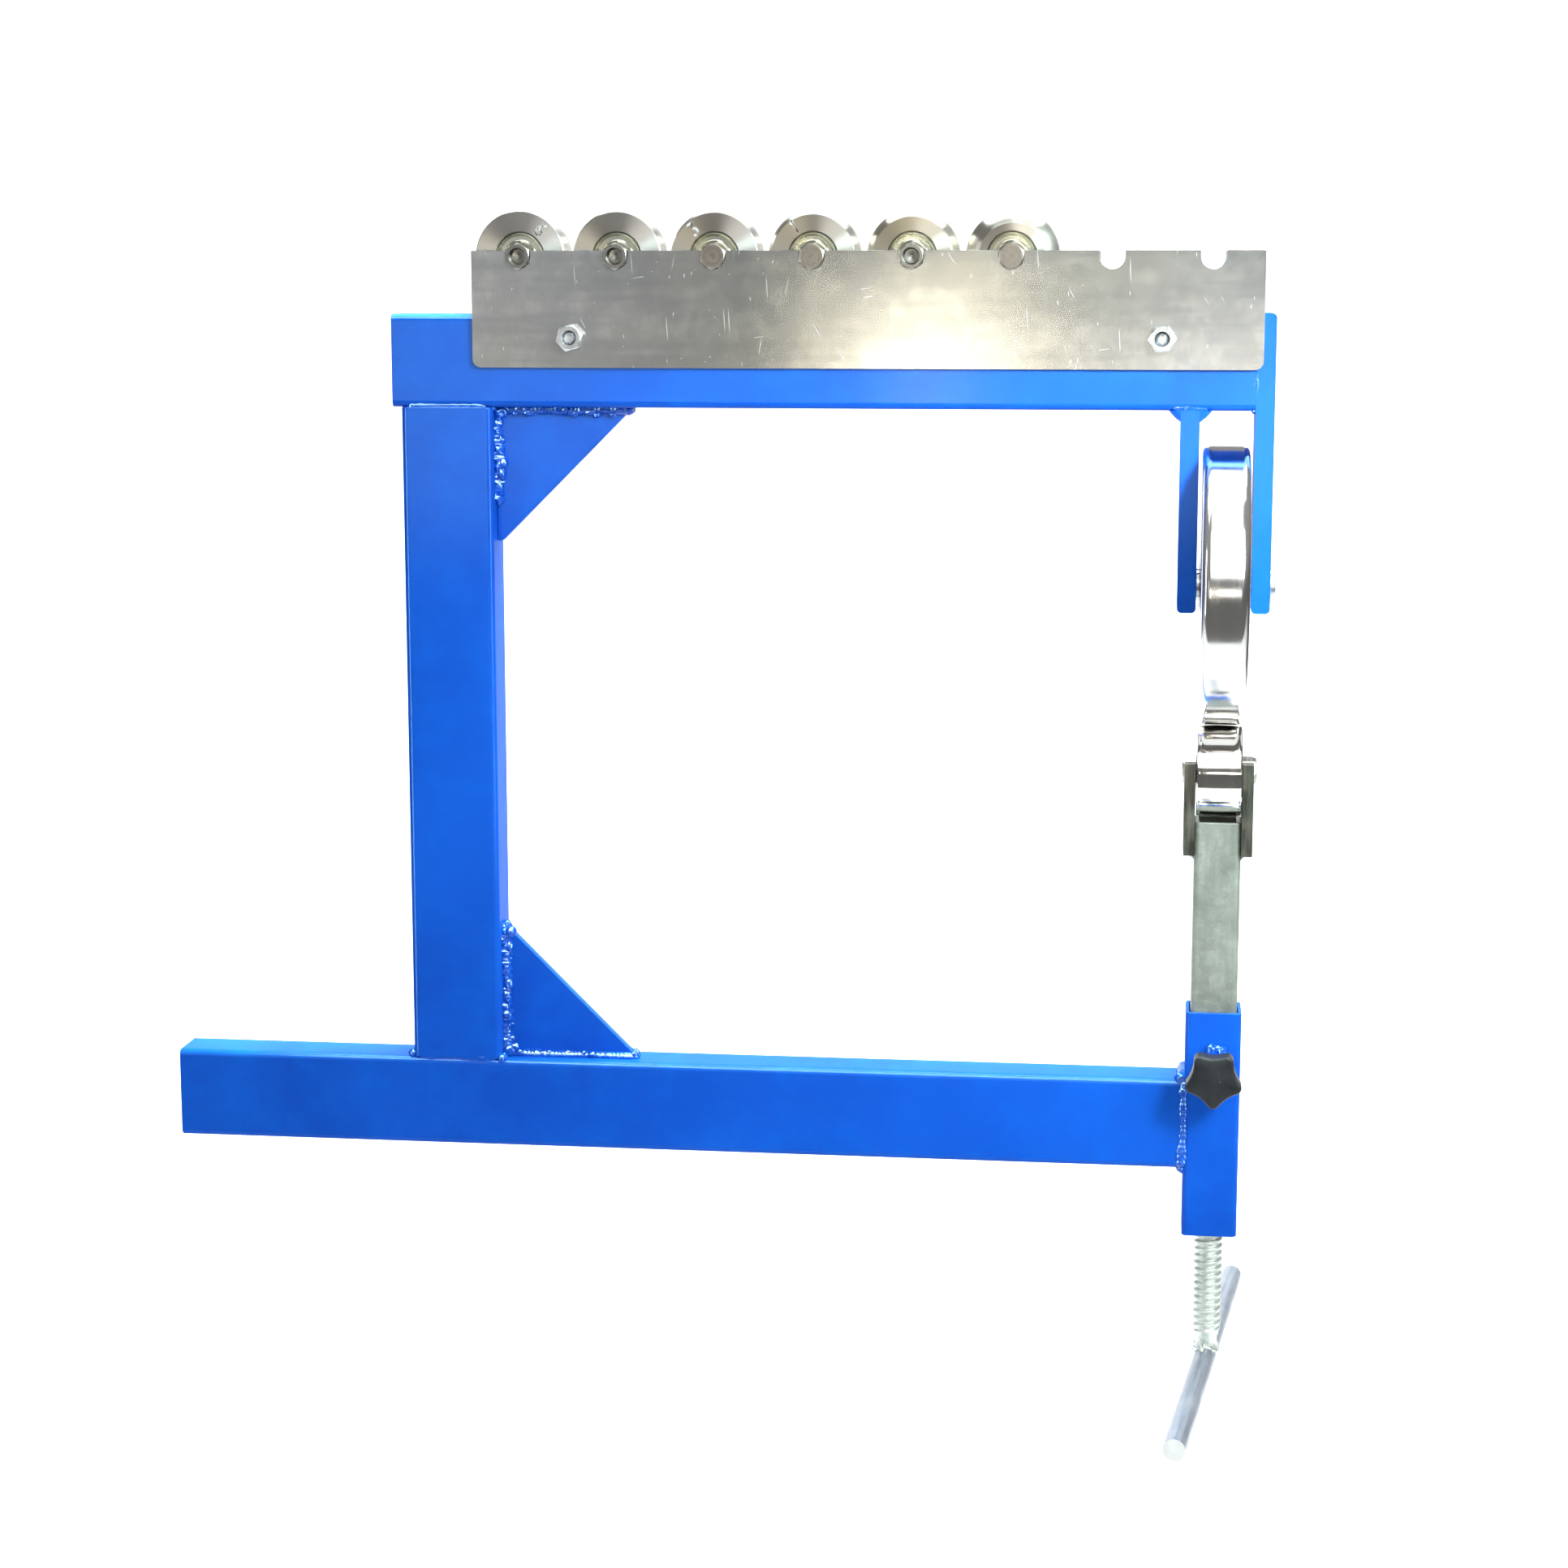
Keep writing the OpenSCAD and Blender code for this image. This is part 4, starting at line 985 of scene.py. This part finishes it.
def star_knob():
    """Five lobes with rounded edges and a crowned front, and a hub behind."""
    x = WX
    nut_lo, nut_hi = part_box("lock_nut")
    z = nut_lo.z / 2 + nut_hi.z / 2
    loop = star_outline(5, 0.0155, 0.0035, 0.0121)
    m = len(loop)
    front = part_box("lock_knob")[0].y
    back = front + 0.012
    verts, faces = [], []

    def ring(points, y):
        verts.extend((x + p.x, y, z + p.y) for p in points)
        return len(verts) - m

    # ways in from the outline, to round the front and back edges evenly
    winding = sum(loop[i].x * loop[(i + 1) % m].y - loop[(i + 1) % m].x * loop[i].y for i in range(m))
    sign = 1 if winding > 0 else -1
    inward = []
    for i in range(m):
        t = (loop[(i + 1) % m] - loop[i - 1]).normalized()
        inward.append(Vector((-t.y, t.x)) * sign)
    r = 0.0013
    quarter = [math.radians(90 * j / 5) for j in range(6)]
    rows = [(front + r * (1 - math.cos(t)), r * (1 - math.sin(t))) for t in quarter]
    rows += [(back - 0.0006, 0.0), (back, 0.0006)]
    starts = [ring([p + d * inset for p, d in zip(loop, inward)], y) for y, inset in rows]
    for low, high in zip(starts, starts[1:]):
        bridge(faces, low, high, m)
    # crowned front: shrinking rings towards the middle
    last = 0
    for scale, rise in ((0.86, 0.00035), (0.66, 0.0007), (0.4, 0.00095), (0.15, 0.0010)):
        start = ring([(p + d * r) * scale for p, d in zip(loop, inward)], front - rise * 0.6)
        bridge(faces, last, start, m)
        last = start
    mid = len(verts)
    verts.append((x, front - 0.0006, z))
    for i in range(m):
        faces.append((last + i, last + (i + 1) % m, mid))
    # back face and the hub behind it
    last = starts[-1]
    for radius, y in ((0.0075, back), (0.0072, back + 0.0038), (0.0041, back + 0.0040)):
        start = ring([p.normalized() * radius for p in loop], y)
        bridge(faces, last, start, m)
        last = start
    make("star_knob", (verts, faces), "lock", M["knob"], ("lock_knob",), 40)


star_knob()


# lift screw with its thread, neck and weld
THREAD_PITCH, THREAD_OUT, THREAD_IN = 0.004, 0.0080, 0.0068
CREST, FLANK = 0.14, 0.30


def thread_radius(turns):
    """Radius of the thread at a place along it, counted in turns: crest, flank, root and flank."""
    u = turns % 1.0
    t = max(0.0, min(1.0, (u - CREST) / FLANK, (1 - u) / FLANK))
    return THREAD_OUT + (THREAD_IN - THREAD_OUT) * (t * t * (3 - 2 * t))


def lift_screw(bar_z):
    """The screw with its thread, the journal above it and the neck below."""
    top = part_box("lift_screw")[1].z
    post_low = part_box("post")[0].z
    t_top = post_low - 0.004
    t_low = low_lo.z - 0.098
    seg = 48
    n_rows = int((t_top - t_low) / THREAD_PITCH * 16)
    turn = [math.tau * k / seg for k in range(seg)]
    verts, faces = [], []

    def rough(a, wave, z, fine):
        return lumpy(math.cos(a) * wave, math.sin(a) * wave, z * fine)

    def ring(radii, z):
        verts.extend((WX + r * math.cos(a), r * math.sin(a), z) for r, a in zip(radii, turn))
        return len(verts) - seg

    for i in range(n_rows + 1):
        z = t_low + (t_top - t_low) * i / n_rows
        fade = max(0.0, min(1.0, (z - t_low) / 0.004 * 0.8 + 0.1, (t_top - z) / 0.002 + 0.1))
        radii = []
        for k, a in enumerate(turn):
            r = thread_radius((z - t_low) / THREAD_PITCH - k / seg + 0.3)
            r = THREAD_IN + (r - THREAD_IN) * fade
            radii.append(r * (1 + 0.006 * rough(a, 3, z, 900)))
        ring(radii, z)
    for i in range(n_rows):
        bridge(faces, i * seg, (i + 1) * seg, seg)
    # journal above
    last = n_rows * seg
    for r, z in (
        (0.0059, t_top + 0.0004), (0.0059, post_low - 0.0002), (0.0050, post_low - 0.0001),
        (0.0050, top - 0.0006), (0.0044, top),
    ):
        start = ring([r] * seg, z)
        bridge(faces, last, start, seg)
        last = start
    faces.append(tuple(last + k for k in range(seg)))
    # neck below, a little lumpy, ending in the bar's weld
    last = 0
    for j in range(1, 22):
        t = j / 21
        z = t_low - (t_low - bar_z - 0.001) * t
        radii = []
        for a in turn:
            r = 0.0062 - 0.0003 * math.sin(t * 3.0) + 0.0007 * rough(a, 1.8, z, 330)
            if t < 0.12:
                r = THREAD_IN * (1 - t / 0.12) + r * t / 0.12
            radii.append(r)
        start = ring(radii, z)
        for k in range(seg):
            m = (k + 1) % seg
            faces.append((last + k, start + k, start + m, last + m))
        last = start
    faces.append(tuple(last + k for k in reversed(range(seg))))
    make("lift_screw_thread", (verts, faces), "screw", M["screw"], ("lift_screw",), 50)


def handle_weld(bar_z):
    """A rough collar of weld round the neck, which runs down both sides of the bar."""
    rng = random.Random(4)
    across = Vector((math.cos(BAR_TURN), -math.sin(BAR_TURN), 0))
    bar_r = 0.0070

    def on_bar(a, out, reach):
        return Vector((WX, 0, bar_z)) + across * (out * math.cos(a)) + BAR_WAY * (reach * math.sin(a))

    def drop(a, out):
        return 0.0062 * math.sqrt(max(0.0, 1 - (out * math.cos(a) / bar_r) ** 2))

    collar = []
    for k in range(15):
        a = math.tau * k / 14
        p = on_bar(a, 0.0066, 0.0072)
        collar.append((p.x, p.y, bar_z + drop(a, 0.0066) * 0.9 + 0.0008))
    parts = [bead(collar, 0.0013, (0, 0, 1), 11, rough=0.6, taper=False, flat=1.0)]
    for k in range(16):
        a = math.tau * k / 16 + rng.uniform(-0.1, 0.1)
        p = on_bar(a, 0.0061, 0.0070)
        z = bar_z + drop(a, 0.0061) * rng.uniform(0.55, 1.05) + rng.uniform(0.0, 0.0022)
        size = rng.uniform(0.0009, 0.0016)
        parts.append(blob((p.x, p.y, z), size, k + 3, (1, 1, rng.uniform(1.0, 1.8)), 10))
    # metal that ran a little way down the bar's top, towards the near end
    for step, lift, size in ((-0.0084, 0.0062, 0.0019), (-0.0100, 0.0060, 0.0015), (-0.0114, 0.0059, 0.0010)):
        p = Vector((WX, 0, bar_z)) + BAR_WAY * step - across * 0.0008
        parts.append(blob((p.x, p.y, bar_z + lift), size, int(-step * 10000), (1.0, 1.5, 0.7), 10))
    make("handle_weld_collar", merged(*parts), "screw", M["weld_steel"], ("handle_weld",), 60)


bar_middle = middle("handle_bar").z
lift_screw(bar_middle)
handle_weld(bar_middle)


# studio: a pale floor and a glowing backdrop
def plain_sheet(name, route, grey, glow, sides=(-4.5, 4.8)):
    """A wide pale sheet along a route of (y, z), with an even glow."""
    verts = [(x, y, z) for y, z in route for x in sides]
    faces = [(2 * i, 2 * i + 1, 2 * i + 3, 2 * i + 2) for i in range(len(route) - 1)]
    me = bpy.data.meshes.new(name)
    me.from_pydata(verts, [], faces)
    smooth(me)
    obj = placed(name, me)
    g = surface(name)
    g.set(Base_Color=(grey, grey, grey, 1), Roughness=0.9, Specular_IOR_Level=0.1)
    g.set(Emission_Color=(1, 1, 1, 1), Emission_Strength=glow)
    me.materials.append(g.owner)


FLOOR_Z, FLOOR_FRONT, FLOOR_SPLIT = -0.42, -0.85, 0.25
WALL_Y, WALL_TOP, SWEEP_R = 2.3, 1.15, 0.9
sweep = [(FLOOR_SPLIT, FLOOR_Z)]
for k in range(17):
    a = math.radians(90 * k / 16)
    sweep.append((WALL_Y - SWEEP_R + SWEEP_R * math.sin(a), FLOOR_Z + SWEEP_R - SWEEP_R * math.cos(a)))
sweep.append((WALL_Y, WALL_TOP))
plain_sheet("pale_floor", [(FLOOR_FRONT, FLOOR_Z), (FLOOR_SPLIT, FLOOR_Z)], 0.80, 0.0)
plain_sheet("pale_backdrop", sweep, 0.85, 0.85, (-1.9, 1.4))


# lights
def area(name, place, aim, size, watts, color, spread=180, only=None):
    """A rectangular light that faces aim: only is the collection of the pieces it reaches."""
    light = bpy.data.lights.new(name, "AREA")
    light.spread = math.radians(spread)
    light.shape = "RECTANGLE"
    light.size, light.size_y = size
    light.energy = watts
    light.color = color
    obj = placed(name, light)
    obj.location = place
    obj.rotation_euler = (Vector(aim) - Vector(place)).to_track_quat("-Z", "Y").to_euler()
    if only:
        obj.light_linking.receiver_collection = only
    return obj


def meshes(name, wanted):
    """A collection of the meshes that wanted accepts."""
    group = bpy.data.collections.new(name)
    for obj in bpy.context.scene.objects:
        if obj.type == "MESH" and wanted(obj):
            group.objects.link(obj)
    return group


def is_painted(obj):
    return obj.data.materials and obj.data.materials[0] in (M["paint"], M["weld_paint"])


CYAN, DEEP_CYAN, WELD_CYAN = (0.72, 0.98, 1.0), (0.50, 0.93, 1.0), (0.55, 0.96, 1.0)
FRAME_MIDDLE, FORK_SIDE = (0.12, 0.0, 0.20), (0.80, -1.0, 0.85)
# the wheel's right corner is a dark line in the photograph, so it alone doesn't mirror the right box
beside_wheel = meshes("lit_from_the_right", lambda obj: obj.name != "upper_wheel_rim")
painted = meshes("painted_frame", is_painted)
welds = meshes("painted_welds", lambda obj: obj.name in ("painted_weld_beads", "lock_nut_welded"))
area("top_box", (0.1, -0.1, 1.7), (0.05, 0.0, 0.25), (1.8, 0.9), 10, (0.86, 0.98, 1.0))
area("front_box", (0.72, -1.9, 1.45), (0.32, 0.0, 0.38), (1.45, 1.5), 8.0, (1.0, 0.99, 0.97), 100)
area("left_box", (-1.3, -0.9, 0.45), (-0.05, 0.0, 0.25), (0.30, 1.3), 5.5, (0.97, 0.99, 1.0))
area("right_box", (1.5, -1.0, 0.8), (0.28, 0.0, 0.38), (0.9, 1.3), 5.5, (0.90, 0.97, 1.0), 90, beside_wheel)
# narrow strips that only the painted frame mirrors, for crisp lines along its edges and on its welds
for name, place, size, watts in (
    ("high_strip", (0.15, -0.9, 1.60), (1.8, 1.0), 220.0),
    ("left_edge_strip", (-1.1, -0.9, 0.3), (0.3, 1.2), 34.0),
    ("right_edge_strip", (1.45, -0.8, 0.4), (0.3, 1.2), 26.0),
    ("sheen_card", (-0.35, -3.0, 0.32), (2.1, 0.42), 15.0),
):
    area(name, place, (0.12, 0.0, 0.25), size, watts, DEEP_CYAN, 140, painted).visible_diffuse = False
# a wide card for the weld metal alone, which the photograph shows glittering
glitter = area("weld_card", (-0.35, -1.3, 1.10), FRAME_MIDDLE, (1.5, 0.7), 75.0, WELD_CYAN, only=welds)
glitter.visible_diffuse = False
area("fork_light", FORK_SIDE, (0.32, 0.0, 0.43), (0.3, 0.3), 2.3, CYAN, 50)
# two lights on the paint alone: the fork and every upper face are paler in the photograph
area("fork_glow", FORK_SIDE, (0.37, 0.0, 0.45), (0.3, 0.3), 1.5, CYAN, 35, painted)
area("top_glow", (0.12, 0.08, 1.55), FRAME_MIDDLE, (1.5, 0.3), 60.0, (0.25, 1.0, 0.5), 120, painted)
area("warm_spot", (-0.10, -3.0, 0.26), (0.12, 0.0, 0.40), (0.09, 0.26), 2.0, (1.0, 0.93, 0.72))
area("warm_fill", (0.42, -3.0, 0.27), (0.20, 0.0, 0.40), (0.50, 0.24), 1.15, (1.0, 0.97, 0.90))
area("cool_fill", (-1.0, -3.0, 0.40), (0.0, 0.0, 0.42), (0.9, 0.7), 1.1, (0.95, 0.97, 1.0))
area("back_top_box", (0.15, 0.50, 1.50), FRAME_MIDDLE, (1.7, 0.5), 55.0, (0.93, 1.0, 1.0))
# a pale card overhead that only polished metal shows
card = area("overhead_card", (0.36, -1.2, 1.75), (0.30, 0.0, 0.28), (0.42, 2.4), 5.0, (0.98, 0.99, 1.0))
card.visible_diffuse = False
card.visible_shadow = False

# world, from straight down to straight up: a dim horizon between a paler floor and sky
SKY = [(0.0, 0.34), (0.25, 0.27), (0.42, 0.24), (0.47, 0.20), (0.53, 0.24), (0.62, 0.50), (1.0, 0.70)]
SKY_STRENGTH = 0.55
world = bpy.data.worlds.new("studio")
bpy.context.scene.world = world
g = Graph(world, "Background")
way = g.node("SeparateXYZ", Vector=g.node("TexCoord").outputs["Generated"])
stops = [(place, (grey, grey * 0.99, grey * 0.97)) for place, grey in SKY]
ramp = g.node("ValToRGB", Fac=g.span(way.outputs["Z"], -1.0, 1.0))
fill_ramp(ramp.color_ramp, stops)
g.set(Color=ramp.outputs["Color"], Strength=SKY_STRENGTH)
bpy.context.scene.view_settings.view_transform = "Standard"

# camera, solved from the photograph's edges
LENS, CAMERA_PLACE = 70.623, (0.2448, -1.6595, 0.4827)
LOOKING_DOWN, TURNED_LEFT = math.radians(9.362), math.radians(6.933)
cam_data = bpy.data.cameras.new("photo_camera")
cam_data.sensor_width = 36.0
cam_data.lens = LENS
cam_data.clip_start = 0.05
cam_data.clip_end = 30.0
cam = placed("photo_camera", cam_data)
cam.location = CAMERA_PLACE
cam.rotation_euler = (math.pi / 2 - LOOKING_DOWN, 0.0, TURNED_LEFT)
bpy.context.scene.camera = cam

bpy.context.view_layer.update()
